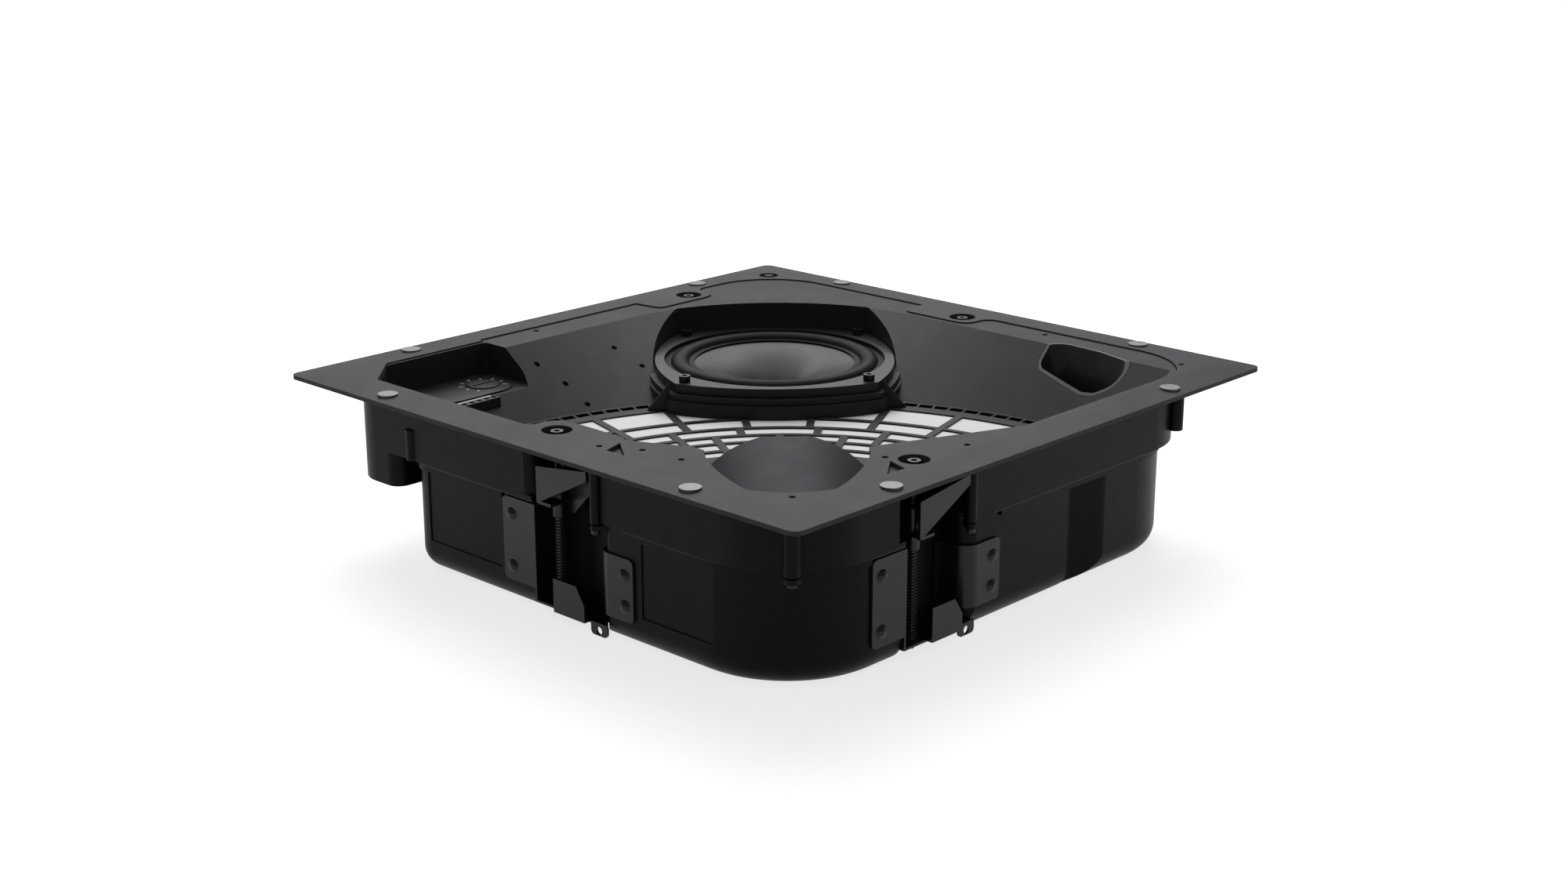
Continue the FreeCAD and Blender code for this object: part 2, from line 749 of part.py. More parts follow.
def shelf_outline():
    """Plan of the level shelf in the front corner, with the throat's mouth open."""
    half = SKIRT_HALF
    places = [from_corner(-1, -1, *insets) for insets in SHELF_LEFT + SHELF_RIGHT]
    corners = [(-half, places[0][1] + NOTCH_IN, 0)]
    corners += [(x, y, 0) for x, y in places]
    corners += [(-half, -half, 0)]
    return largest_face(outline(corners).cut(on_diagonal(throat_outline(), FRONT_CORNER_S)))


def lip_outline():
    """Plan of the baffle insert's rim lip, from the pocket round the far corner to the port."""
    half = LIP_HALF
    whole = outline([
        (POCKET_HIGH_X, half, 0),
        (POCKET_HIGH_X, -half, 0),
        (half, -half, LIP_CORNER_R),
        (half, half, LIP_CORNER_R),
    ])
    rim = whole.cut(crease_outline())
    return largest_face(cleared(rim, at_all_clamps(grown(notch_outline(), LIP_CLEARANCE))))


def crease_outline():
    """Plan of the dish, inside the crease where the baffle starts to slope."""
    low = -LIP_HALF - DISH_MARGIN
    line = CREASE_LINE
    return outline([(low, low, 0), (line, low, 0), (line, line, CREASE_R), (low, line, 0)])


def dish():
    """The air above the sloping baffle: from the crease down to the edge of the guide grille."""
    low = -LIP_HALF - DISH_MARGIN
    line = CREASE_LINE
    bend = line - CREASE_R
    turn = bend + CREASE_R / math.sqrt(2)
    top = RIM_FACE
    crease = [
        Part.LineSegment(Vector(low, line, top), Vector(bend, line, top)).toShape(),
        Part.Arc(Vector(bend, line, top), Vector(turn, turn, top), Vector(line, bend, top)).toShape(),
        Part.LineSegment(Vector(line, bend, top), Vector(line, low, top)).toShape(),
        Part.LineSegment(Vector(line, low, top), Vector(low, low, top)).toShape(),
        Part.LineSegment(Vector(low, low, top), Vector(low, line, top)).toShape(),
    ]
    steep = math.atan2(line - GUIDE_CENTRE, bend - GUIDE_CENTRE)
    start = math.acos((low - GUIDE_CENTRE) / GUIDE_R)
    angles = [start, steep, math.pi / 2 - steep, math.pi / 2 - start]

    def on_arc(angle):
        x = GUIDE_CENTRE + GUIDE_R * math.cos(angle)
        y = GUIDE_CENTRE + GUIDE_R * math.sin(angle)
        return Vector(x, y, GRILLE_TOP)

    foot = [Part.Arc(on_arc(a), on_arc((a + b) / 2), on_arc(b)).toShape() for a, b in zip(angles, angles[1:])]
    corner = Vector(low, low, GRILLE_TOP)
    foot.append(Part.LineSegment(on_arc(angles[-1]), corner).toShape())
    foot.append(Part.LineSegment(corner, on_arc(angles[0])).toShape())
    return Part.makeLoft([Part.Wire(crease), Part.Wire(foot)], True, True)


def front_air():
    """All the air in front of the baffle: the dish and what lies above the rim."""
    return dish().fuse(slab(square(BEZEL_SIDE, BEZEL_CORNER_R), RIM_FACE, ABOVE))


def port_outline(share):
    """Plan of the port between its throat, at 0, and its mouth, at 1."""
    corners = []
    for throat, mouth in zip(PORT_THROAT, PORT_MOUTH):
        inset_x, inset_y, radius = (a + (b - a) * share for a, b in zip(throat, mouth))
        corners.append(from_corner(1, -1, inset_x, inset_y) + (radius,))
    return outline(corners)


def port_form(growth, foot):
    """The port's inside from its foot up, grown outwards: a straight duct and a flare above it."""
    levels = (
        (0.0, EDGE_TOP - PORT_FLARE_DEPTH),
        (PORT_FLARE_SHARE, EDGE_TOP - PORT_FLARE_MIDDLE),
        (1.0, EDGE_TOP + PORT_FLARE_RISE),
    )
    plans = [port_outline(share) for share, height in levels]
    if growth > 0:
        plans = [grown(plan, growth) for plan in plans]
    wires = []
    for plan, (share, height) in zip(plans, levels):
        wire = plan.OuterWire.copy()
        wire.translate(Vector(0, 0, height))
        wires.append(wire)
    return slab(plans[0], foot, levels[0][1]).fuse(Part.makeLoft(wires, True, False))


def boss_places():
    """Place and radius of every screw boss of the skirt."""
    inset = CORNER_BOSS_INSET
    places = [from_corner(sign, sign, inset, inset) + (CORNER_BOSS_R,) for sign in (-1, 1)]
    for spot in at_all_clamps(Part.Vertex(NOTCH_BOSS_ALONG, -NOTCH_BOSS_OUT, 0)):
        places.append((spot.Point.x, spot.Point.y, NOTCH_BOSS_R))
    return places


def magnet_places():
    along = BEZEL_SIDE / 2 - MAGNET_DISC_ALONG
    out = BEZEL_SIDE / 2 - MAGNET_DISC_INSET
    return [(sx * a, sy * b) for a, b in ((along, out), (out, along)) for sx in (-1, 1) for sy in (-1, 1)]


SKIRT_PLAN = skirt_outline()
SKIRT_INNER = grown(SKIRT_PLAN, -SKIRT_WALL)
INSERT_PLAN = grown(SKIRT_INNER, -LIP_CLEARANCE)
WELL_PLAN = on_diagonal(grown(woofer_outline(), WELL_CLEARANCE), WOOFER_S)
WELL_OUTER = on_diagonal(grown(woofer_outline(), WELL_CLEARANCE + WELL_WALL), WOOFER_S)


# Casing
def bezel_frame():
    outer = square(BEZEL_SIDE, BEZEL_CORNER_R)
    inner = square(BEZEL_SIDE - 2 * BEVEL_WIDTH, BEVEL_INNER_R)
    low = outer.OuterWire.copy()
    low.translate(Vector(0, 0, EDGE_TOP))
    high = inner.OuterWire.copy()
    high.translate(Vector(0, 0, FACE))
    flange = [slab(outer, BEZEL_BACK, EDGE_TOP), Part.makeLoft([low, high], True, True)]
    opening = SKIRT_INNER.cut(shelf_outline()).cut(pocket_corner())
    rebate = grown(lip_outline(), LIP_SEAM)
    top = cleared(fused(flange), [slab(opening, BELOW, ABOVE), slab(rebate, LIP_SEAT, ABOVE)])

    wall = slab(SKIRT_PLAN.cut(SKIRT_INNER), SKIRT_FOOT, BEZEL_BACK)
    floors = slab(foot_outline().cut(SKIRT_INNER), SKIRT_FOOT, SKIRT_FOOT + SKIRT_WALL)
    bushes = at_all_clamps(post(BUSH_R, EDGE_TOP - BUSH_DROP, EDGE_TOP))
    solid = fused([top, wall, floors] + skirt_posts() + bushes + terminal_corner())

    holes = at_all_clamps(post(RECESS_R, CLAMP_RECESS, ABOVE))
    holes += at_all_clamps(post(SCREW_R + RUN_CLEARANCE, BELOW, ABOVE))
    holes += [post(SKIRT_SCREW_R, BELOW, SKIRT_FOOT + SKIRT_SCREW_LENGTH, x, y) for x, y, radius in boss_places()]
    seat = EDGE_TOP + MAGNET_DISC_PROUD - MAGNET_DISC_THICK
    holes += [post(MAGNET_DISC_R, seat, ABOVE, x, y) for x, y in magnet_places()]
    holes += [post(PILOT_R, BEZEL_BACK, ABOVE, *from_corner(*place)) for place in FRAME_PILOTS]
    for insets in CLIP_RECESSES:
        plan = outline([from_corner(-1, -1, *inset) + (0,) for inset in insets])
        holes.append(slab(plan, FACE - CLIP_RECESS_DEPTH, ABOVE))
    ring = annulus(CORNER_RECESS_PIN_R, CORNER_RECESS_R, *from_corner(1, 1, CORNER_RECESS_INSET, CORNER_RECESS_INSET))
    holes.append(slab(ring, FACE - CORNER_RECESS_DEPTH, ABOVE))
    return cleared(solid, holes)


def skirt_posts():
    """Screw bosses and round ribs on the outside of the skirt."""
    posts = [post(radius, SKIRT_FOOT, BEZEL_BACK, x, y) for x, y, radius in boss_places()]
    ear_x, ear_y = from_corner(-1, 1, RIB_INSET, EAR_RIB_ALONG)
    posts.append(post(RIB_R, SKIRT_FOOT, SKIRT_FOOT + EAR_RIB_HEIGHT, ear_x, ear_y))
    corner_x, corner_y = from_corner(1, -1, CORNER_RIB_ALONG, RIB_INSET)
    posts.append(post(RIB_R, SKIRT_FOOT + CORNER_RIB_LIFT, BEZEL_BACK, corner_x, corner_y))
    inside = slab(SKIRT_INNER, BELOW, ABOVE)
    return [shape.cut(inside) for shape in posts]


def terminal_corner():
    """Floor of the skirt's terminal corner and the ear below it."""
    half = SKIRT_HALF
    reach = CAN_CUT_X + CAN_CUT_R
    near = CAN_CUT_Y - CAN_CUT_R
    floor = slab(outline([
        (-half, near, 0),
        (reach, near, 0),
        (reach, half, 0),
        (-half, half, SKIRT_EAR_CORNER_R),
    ]), SKIRT_FOOT, SKIRT_FOOT + SKIRT_WALL)
    plan = outline([
        (-half, half - EAR_WIDTH, EAR_NEAR_R),
        (EAR_LENGTH - half, half - EAR_WIDTH, EAR_FAR_R),
        (EAR_LENGTH - half, half, EAR_FAR_R),
        (-half, half, SKIRT_EAR_CORNER_R),
    ])
    ear = slab(plan, SKIRT_FOOT - EAR_DROP, SKIRT_FOOT)
    hollow = slab(grown(plan, -SKIRT_WALL), SKIRT_FOOT - EAR_DROP + SKIRT_WALL, SKIRT_FOOT + SKIRT_WALL)
    return [floor.cut(hollow), ear.cut(hollow)]


def back_can():
    plan = can_outline()
    shell = slab(plan, 0, CAN_RIM)
    bottom = [edge for edge in shell.Edges if edge.BoundBox.ZMax < TOUCH]
    shell = shell.makeFillet(CAN_EDGE_FILLET, bottom)
    bead_low = CAN_RIM - CAN_BEAD_HEIGHT
    mouth = rectangle(
        BRACKET_WING_END - CAVITY_CLEARANCE, -FAR / 4, BRACKET_FAR_WING_END + CAVITY_CLEARANCE, CAN_FACE)
    bead = slab(grown(plan, CAN_BEAD), bead_low, CAN_RIM)
    bead = cleared(bead, [slab(face, BELOW, ABOVE) for face in at_all_clamps(mouth)])
    cavities = at_all_clamps(cavity_outline())
    groove = groove_outline()
    outside = [slab(face, BELOW, ABOVE) for face in cavities] + [slab(groove, BELOW, bead_low)]
    inside = [slab(grown(face, CAN_WALL), BELOW, ABOVE) for face in cavities]
    inside += [slab(grown(groove, CAN_WALL), BELOW, CAN_RIM)]

    room = slab(grown(plan, -CAN_WALL), CAN_WALL, ABOVE)
    room_bottom = [edge for edge in room.Edges if edge.BoundBox.ZMax < CAN_WALL + TOUCH]
    room = cleared(room.makeFillet(CAN_EDGE_FILLET - CAN_WALL, room_bottom), inside)
    outer = cleared(fused([shell, bead]), outside)
    lugs = [slab(face, bead_low, CAN_RIM) for face in lug_outlines()]
    body = fused([outer.cut(room)] + [lug.cut(room) for lug in lugs])

    cuts = [post(SKIRT_SCREW_R, BELOW, ABOVE, x, y) for x, y, radius in boss_places()]
    panel_top = CAN_RIM - PANEL_TOP_DROP
    cuts += [block((-FAR, low, PANEL_LOW), (PANEL_SINK - CAN_HALF, high, panel_top)) for low, high in PANELS]
    for hole in rivet_shanks(RIVET_R + RUN_CLEARANCE):
        cuts += at_all_clamps(hole)
    return cleared(body, cuts)


def can_gasket():
    plan = can_outline()
    hollows = at_all_clamps(cavity_outline())
    room = cleared(grown(plan, -CAN_WALL), [grown(face, CAN_WALL) for face in hollows])
    ring = cleared(grown(plan, CAN_BEAD), hollows).cut(room).common(foot_outline())
    return slab(largest_face(ring), CAN_RIM, SKIRT_FOOT)


def skirt_screws():
    head_top = CAN_RIM - CAN_BEAD_HEIGHT
    tip = SKIRT_FOOT + SKIRT_SCREW_LENGTH - SCREW_TIP_CLEARANCE
    screws = []
    for x, y, radius in boss_places():
        head = post(SKIRT_SCREW_HEAD_R, head_top - SKIRT_SCREW_HEAD, head_top, x, y)
        screws.append(head.fuse(post(SKIRT_SCREW_R - RUN_CLEARANCE, head_top, tip, x, y)))
    return Part.makeCompound(screws)


def grille_magnets():
    top = EDGE_TOP + MAGNET_DISC_PROUD
    radius = MAGNET_DISC_R - RUN_CLEARANCE
    discs = [post(radius, top - MAGNET_DISC_THICK, top, x, y) for x, y in magnet_places()]
    return Part.makeCompound(discs)


# Baffle
def baffle():
    air = front_air()
    sheet = dish()
    sheet.translate(Vector(0, 0, -BAFFLE_THICK))
    sheet = sheet.fuse(slab(crease_outline(), RIM_FACE - BAFFLE_THICK, RIM_FACE)).cut(air)
    grille_room = slab(disc(GUIDE_R, GUIDE_CENTRE, GUIDE_CENTRE), BELOW, ABOVE)
    well_room = slab(WELL_PLAN, BELOW, ABOVE)
    pocket_room = slab(pocket_outline(), POCKET_FLOOR, ABOVE)
    port_room = port_form(PORT_WALL + LIP_CLEARANCE, 0)
    plate_room = slab(grown(pocket_corner(), LIP_CLEARANCE), BEZEL_BACK - LIP_CLEARANCE, ABOVE)
    slope = sheet.common(slab(INSERT_PLAN, BELOW, ABOVE))
    slope = cleared(slope, [grille_room, well_room, pocket_room, port_room, plate_room])
    rim = cleared(slab(lip_outline(), LIP_SEAT, RIM_FACE), [well_room, port_room])

    wall_plan = WELL_OUTER.cut(WELL_PLAN)
    foot_plan = grown(WELL_OUTER, COLLAR_STEP)
    groove_plan = foot_plan.cut(grown(WELL_OUTER, -COLLAR_GROOVE))
    collar = slab(wall_plan, GRILLE_BACK, BASKET_SEAT)
    collar = collar.cut(slab(groove_plan, COLLAR_FOOT_TOP, COLLAR_FOOT_TOP + COLLAR_GROOVE_HEIGHT))
    collar_foot = slab(foot_plan.cut(WELL_PLAN), GRILLE_BACK, COLLAR_FOOT_TOP)
    high_wall = slab(wall_plan, BASKET_SEAT, RIM_FACE).cut(air)
    mount = slab(WELL_OUTER, BASKET_SEAT - MOUNT_THICK, BASKET_SEAT)
    mount = mount.cut(on_diagonal(post(BASKET_NECK_R + WELL_CLEARANCE, BELOW, ABOVE), WOOFER_S))

    cup_plan = largest_face(grown(pocket_outline(), BAFFLE_THICK).common(INSERT_PLAN))
    cup = slab(cup_plan, POCKET_FLOOR - BAFFLE_THICK, RIM_FACE)
    cup = cleared(cup, [pocket_room, air, plate_room])

    solid = fused([slope, rim, collar, collar_foot, high_wall, mount, cup] + gussets())
    holes = [on_diagonal(hole, WOOFER_S) for hole in woofer_screw_posts(WOOFER_SCREW_R, BELOW, ABOVE)]
    holes += [post(PILOT_R, LIP_SEAT, ABOVE, *from_corner(*place)) for place in RIM_PILOTS]
    holes += [post(PILOT_R, GRILLE_TOP, ABOVE, *from_corner(*place)) for place in SLOPE_PILOTS]
    holes.append(post(HUB_R + SEAT_CLEARANCE, BELOW, ABOVE, KNOB_X, PLATE_Y))
    holes.append(terminal_body(SEAT_CLEARANCE))
    return cleared(solid, holes)


def gussets():
    """Two small upright webs at the front ends of the woofer's collar."""
    low = GRILLE_TOP + LIP_CLEARANCE
    web = upright([(GUSSET_START, low), (GUSSET_END, low), (GUSSET_START, WOOFER_FACE)], 0, GUSSET_THICK)
    webs = []
    for angle in (-90, 90):
        placed = web.copy()
        placed.rotate(ORIGIN, UP, angle)
        placed.translate(Vector(-GUSSET_ALONG, 0, 0))
        webs.append(on_diagonal(placed, WOOFER_S))
    return webs


def bass_port():
    foot = EDGE_TOP - PORT_LENGTH
    return cleared(port_form(PORT_WALL, foot), [port_form(0, BELOW), front_air()])


# Guide for the high frequencies
def throat_cover():
    wide = THROAT_HALF_WIDTH - COVER_CLEARANCE
    plan = grown(throat_outline(), -COVER_CLEARANCE)
    tongue = block((THROAT_SHOULDER, -wide, GRILLE_TOP), (COVER_FAR, wide, ABOVE))
    reach = slab(plan, GRILLE_TOP, ABOVE).fuse(tongue)
    inner_reach = slab(grown(throat_outline(), -COVER_CLEARANCE - COVER_WALL), BELOW, ABOVE)

    def crown(sink):
        height = EDGE_TOP + COVER_CREST_NEAR - COVER_NEAR_R
        start = Vector(THROAT_NEAR, 0, height)
        cone = Part.makeCone(COVER_NEAR_R - sink, COVER_FAR_R - sink, COVER_FAR - THROAT_NEAR, start, Vector(1, 0, 0))
        return cone.common(block((0, -FAR, BELOW), (FAR, FAR, EDGE_TOP + COVER_FLAT - sink)))

    shell = reach.common(crown(0)).cut(inner_reach.common(crown(COVER_WALL)))
    return on_diagonal(shell, FRONT_CORNER_S).common(slab(INSERT_PLAN, BELOW, ABOVE))


def grille_plan(radius):
    """Level plan of the guide out to a radius, inside the skirt and clear of the woofer's collar."""
    room = INSERT_PLAN.common(disc(radius, GUIDE_CENTRE, GUIDE_CENTRE))
    return largest_face(room.cut(grown(WELL_OUTER, COLLAR_STEP + LIP_CLEARANCE)))


def spokes(angles, width, inner, outer):
    """Bars of even width across a ring, at angles from the diagonal."""
    bars = []
    for angle in angles:
        bar = rectangle(inner - SPOKE_MARGIN, -width / 2, outer + SPOKE_MARGIN, width / 2)
        bar.rotate(ORIGIN, UP, 45 + angle)
        bar.translate(Vector(GUIDE_CENTRE, GUIDE_CENTRE, 0))
        bars.append(bar)
    return bars


def waveguide_grille():
    half = math.radians(GRILLE_SPREAD)
    far = 2 * GUIDE_R
    ahead = far * math.cos(half)
    aside = far * math.sin(half)
    wedge = outline([(0, 0, 0), (ahead, -aside, 0), (ahead, aside, 0)])
    wedge.rotate(ORIGIN, UP, 45)
    wedge.translate(Vector(GUIDE_CENTRE, GUIDE_CENTRE, 0))
    windows = []
    for inner, outer, angles in GRILLE_ROWS:
        ring = annulus(inner, outer, GUIDE_CENTRE, GUIDE_CENTRE).common(wedge)
        windows += cleared(ring, spokes(angles, GRILLE_RIB, inner, outer)).Faces
    steps = int(GRILLE_SPREAD / SLOT_STEP)
    slot_angles = [step * SLOT_STEP for step in range(-steps, steps + 1)]
    slot_ring = annulus(SLOT_INNER_R, SLOT_OUTER_R, GUIDE_CENTRE, GUIDE_CENTRE).common(wedge)
    windows += cleared(slot_ring, spokes(slot_angles, SLOT_RIB, SLOT_INNER_R, SLOT_OUTER_R)).Faces
    sheet = largest_face(cleared(grille_plan(GUIDE_R - LIP_CLEARANCE), windows))
    return slab(sheet, GRILLE_BACK, GRILLE_TOP)


def guide_room(radius):
    """Plan of the guide where it also has to clear the can's walls, cavities and groove."""
    gap = CAN_WALL + TRAY_CLEARANCE
    hollows = [grown(face, gap) for face in at_all_clamps(cavity_outline()) + [groove_outline()]]
    inside = cleared(grown(can_outline(), -gap), hollows)
    return largest_face(grille_plan(radius).common(inside))


def acoustic_screen():
    return slab(guide_room(SCREEN_R), SCREEN_BACK, GRILLE_BACK)


def waveguide_tray():
    plan = guide_room(SCREEN_R)
    tray = slab(plan, TRAY_BACK, SCREEN_BACK)
    room = slab(grown(plan, -TRAY_WALL), TRAY_BACK + TRAY_WALL, SCREEN_BACK)
    throat = on_diagonal(post(DRIVER_THROAT_R, BELOW, ABOVE), FRONT_CORNER_S + DRIVER_ALONG)
    return cleared(tray, [room, throat])


def hf_driver():
    flange = TRAY_BACK - DRIVER_FLANGE
    body = flange - DRIVER_BODY
    cap = body - DRIVER_CAP
    shape = turned(profile(
        (DRIVER_THROAT_R, TRAY_BACK), (DRIVER_FLANGE_R, TRAY_BACK), (DRIVER_FLANGE_R, flange), (DRIVER_R, flange),
        (DRIVER_R, body), (DRIVER_CAP_R, body), (DRIVER_CAP_R, cap), (0, cap), (0, flange), (DRIVER_THROAT_R, flange)))
    return on_diagonal(shape, FRONT_CORNER_S + DRIVER_ALONG)


# Woofer
def woofer_screw_posts(radius, low, high):
    at = WOOFER_SCREW_AT
    return [post(radius, low, high, x, y) for x in (-at, at) for y in (-at, at)]


def woofer_basket():
    foot_top = BASKET_FOOT + BASKET_SHEET
    ledge = WOOFER_FACE - SPIDER_DEPTH
    neck = BASKET_SEAT - BASKET_NECK
    ledge_inner = SPIDER_R - SPIDER_LEDGE
    bowl = turned(profile(
        (BASKET_MOUTH_R, BASKET_SEAT), (BASKET_NECK_R, BASKET_SEAT), (BASKET_NECK_R - BASKET_TAPER, neck),
        (SPIDER_R + SPIDER_RIM, ledge), (BASKET_FOOT_R, foot_top), (BASKET_FOOT_R, BASKET_FOOT),
        (GAP_R + BASKET_SHEET, BASKET_FOOT), (GAP_R + BASKET_SHEET, foot_top), (BASKET_FOOT_R - BASKET_SHEET, foot_top),
        (ledge_inner, ledge - BASKET_SHEET), (ledge_inner, ledge), (SPIDER_R + SPIDER_LEDGE_CLEARANCE, ledge),
        (BASKET_MOUTH_R, neck)))
    flange = slab(woofer_outline(), BASKET_SEAT, WOOFER_FACE)
    holes = woofer_screw_posts(WOOFER_SCREW_R + WOOFER_SCREW_HOLE_CLEARANCE, BELOW, ABOVE)
    flange = cleared(flange, [post(BASKET_MOUTH_R, BELOW, ABOVE), post(SURROUND_SEAT_R, CONE_TOP, ABOVE)] + holes)
    windows = []
    half = BASKET_WINDOW_WIDTH / 2
    for step in range(BASKET_WINDOWS):
        window = block(
            (SPIDER_R + BASKET_WINDOW_MARGIN, -half, ledge + BASKET_BAND),
            (BASKET_NECK_R + BASKET_BAND, half, neck - BASKET_WINDOW_MARGIN))
        window.rotate(ORIGIN, UP, step * 360 / BASKET_WINDOWS)
        windows.append(window)
    return on_diagonal(fused([flange, cleared(bowl, windows)]), WOOFER_S)


def woofer_screws():
    head_top = WOOFER_FACE + WOOFER_SCREW_HEAD
    head = woofer_screw_posts(WOOFER_SCREW_HEAD_R, WOOFER_FACE, head_top)
    shank = woofer_screw_posts(WOOFER_SCREW_R - RUN_CLEARANCE, WOOFER_FACE - WOOFER_SCREW_LENGTH, WOOFER_FACE)
    socket = woofer_screw_posts(WOOFER_SCREW_SOCKET_R, head_top - WOOFER_SCREW_SOCKET, ABOVE)
    screws = [a.fuse(b).cut(c) for a, b, c in zip(head, shank, socket)]
    return on_diagonal(Part.makeCompound(screws), WOOFER_S)


def woofer_surround():
    """Rolled edge between the basket's step and the cone."""
    low = CONE_TOP
    high = low + SURROUND_THICK
    middle = SURROUND_ROLL_MIDDLE_R
    outer = SURROUND_ROLL_WIDTH
    inner = outer - SURROUND_THICK
    rise = SURROUND_ROLL_HEIGHT
    edge = SURROUND_SEAT_R - SEAT_CLEARANCE
    inside = CONE_R - CONE_LIP
    return on_diagonal(turned([
        line_xz((edge, low), (edge, high)),
        line_xz((edge, high), (middle + outer, high)),
        arc_xz((middle + outer, high), (middle, high + rise), (middle - outer, high)),
        line_xz((middle - outer, high), (inside, high)),
        line_xz((inside, high), (inside, low)),
        line_xz((inside, low), (middle - inner, low)),
        arc_xz((middle - inner, low), (middle, low + rise), (middle + inner, low)),
        line_xz((middle + inner, low), (edge, low)),
    ]), WOOFER_S)


def woofer_cone():
    top = CONE_TOP
    low = top - CONE_THICK
    neck_r = COIL_R + COIL_FORMER
    neck = WOOFER_FACE - CONE_NECK_DEPTH
    neck_low = neck - CONE_NECK_THICK
    inner = CONE_R - CONE_LIP
    bend_r = CONE_MIDDLE_R
    bend = top - CONE_MIDDLE_DROP
    return on_diagonal(turned([
        line_xz((CONE_R, low), (CONE_R, top)),
        line_xz((CONE_R, top), (inner, top)),
        arc_xz((inner, top), (bend_r, bend), (neck_r, neck)),
        line_xz((neck_r, neck), (neck_r, neck_low)),
        arc_xz((neck_r, neck_low), (bend_r, bend - CONE_BEND_THICK), (inner, low)),
        line_xz((inner, low), (CONE_R, low)),
    ]), WOOFER_S)


def dust_cap():
    edge = COIL_R - RUN_CLEARANCE
    rim = WOOFER_FACE - CONE_NECK_DEPTH
    bend = (edge ** 2 + CAP_DISH ** 2) / (2 * CAP_DISH)
    middle = rim - CAP_DISH + bend

    def dish_point(radius, out):
        return (out, middle - math.sqrt(radius ** 2 - out ** 2))

    outer = bend + CONE_THICK
    return on_diagonal(turned([
        line_xz(dish_point(outer, edge), dish_point(bend, edge)),
        arc_xz(dish_point(bend, edge), dish_point(bend, edge / 2), dish_point(bend, 0)),
        line_xz(dish_point(bend, 0), dish_point(outer, 0)),
        arc_xz(dish_point(outer, 0), dish_point(outer, edge / 2), dish_point(outer, edge)),
    ]), WOOFER_S)


def voice_coil():
    top = WOOFER_FACE - CONE_NECK_DEPTH
    low = WOOFER_FACE - COIL_DEPTH
    outer = COIL_R + COIL_FORMER
    former = post(outer, low, top).cut(post(COIL_R, low, top))
    winding = post(outer + COIL_WIRE, low, low + COIL_HEIGHT).cut(post(COIL_R, low, low + COIL_HEIGHT))
    return on_diagonal(fused([former, winding]), WOOFER_S)


def spider():
    """Corrugated disc between the voice coil and the basket's ledge."""
    base = WOOFER_FACE - SPIDER_DEPTH
    inner = COIL_R + COIL_FORMER + RUN_CLEARANCE
    step = (SPIDER_R - SPIDER_RIM - inner) / (2 * SPIDER_WAVES)
    ridge = [(inner + i * step, base + SPIDER_WAVE * (i % 2)) for i in range(2 * SPIDER_WAVES + 1)]
    lower = ridge + [(SPIDER_R, base)]
    upper = [(radius, height + SPIDER_THICK) for radius, height in reversed(lower)]
    return on_diagonal(turned(profile(*(lower + upper))), WOOFER_S)


def top_plate():
    low = BASKET_FOOT - TOP_PLATE
    ring = post(TOP_PLATE_R, low, BASKET_FOOT).cut(post(GAP_R, low, BASKET_FOOT))
    return on_diagonal(ring, WOOFER_S)


def ring_magnet():
    high = BASKET_FOOT - TOP_PLATE
    low = high - MAGNET
    return on_diagonal(post(MAGNET_R, low, high).cut(post(MAGNET_INNER_R, low, high)), WOOFER_S)


def pole_piece():
    plate = BASKET_FOOT - TOP_PLATE - MAGNET
    pieces = [post(TOP_PLATE_R, plate - BACK_PLATE, plate), post(POLE_R, plate, BASKET_FOOT)]
    return on_diagonal(fused(pieces), WOOFER_S)


# Terminal pocket
def control_plate():
    """Flat plate with round ends, and the switch's hub below it."""
    low_x = PLATE_START - POCKET_EDGE + PLATE_R
    high_x = KNOB_X
    near = PLATE_Y - PLATE_R
    far = PLATE_Y + PLATE_R
    plan = Part.Face(Part.Wire([
        Part.LineSegment(Vector(low_x, near, 0), Vector(high_x, near, 0)).toShape(),
        Part.Arc(Vector(high_x, near, 0), Vector(high_x + PLATE_R, PLATE_Y, 0), Vector(high_x, far, 0)).toShape(),
        Part.LineSegment(Vector(high_x, far, 0), Vector(low_x, far, 0)).toShape(),
        Part.Arc(Vector(low_x, far, 0), Vector(low_x - PLATE_R, PLATE_Y, 0), Vector(low_x, near, 0)).toShape(),
    ]))
    plate = slab(plan, POCKET_FLOOR, PLATE_FACE)
    rim = [edge for edge in plate.Edges if edge.BoundBox.ZMin > PLATE_FACE - TOUCH]
    plate = plate.makeFillet(PLATE_EDGE_R, rim)
    hub = post(HUB_R, POCKET_FLOOR - HUB_DEPTH, POCKET_FLOOR, KNOB_X, PLATE_Y)
    sink = post(KNOB_R + SEAT_CLEARANCE, PLATE_FACE - KNOB_SINK, ABOVE, KNOB_X, PLATE_Y)
    bore = post(KNOB_SHAFT_R + RUN_CLEARANCE, BELOW, ABOVE, KNOB_X, PLATE_Y)
    return cleared(fused([plate, hub]), [sink, bore])


def tap_knob():
    low = PLATE_FACE - KNOB_SINK + SEAT_CLEARANCE
    high = PLATE_FACE + KNOB_PROUD
    cap = post(KNOB_R, low, high, KNOB_X, PLATE_Y)
    rim = [edge for edge in cap.Edges if edge.BoundBox.ZMin > high - TOUCH]
    cap = cap.makeFillet(KNOB_EDGE_R, rim)
    shaft = post(KNOB_SHAFT_R, low - KNOB_SHAFT_LENGTH, low, KNOB_X, PLATE_Y)
    half = KNOB_SLOT_WIDTH / 2
    reach = KNOB_R - KNOB_SLOT_MARGIN
    slot = block((KNOB_X - reach, PLATE_Y - half, high - KNOB_SLOT_DEPTH), (KNOB_X + reach, PLATE_Y + half, ABOVE))
    return fused([cap, shaft]).cut(slot)


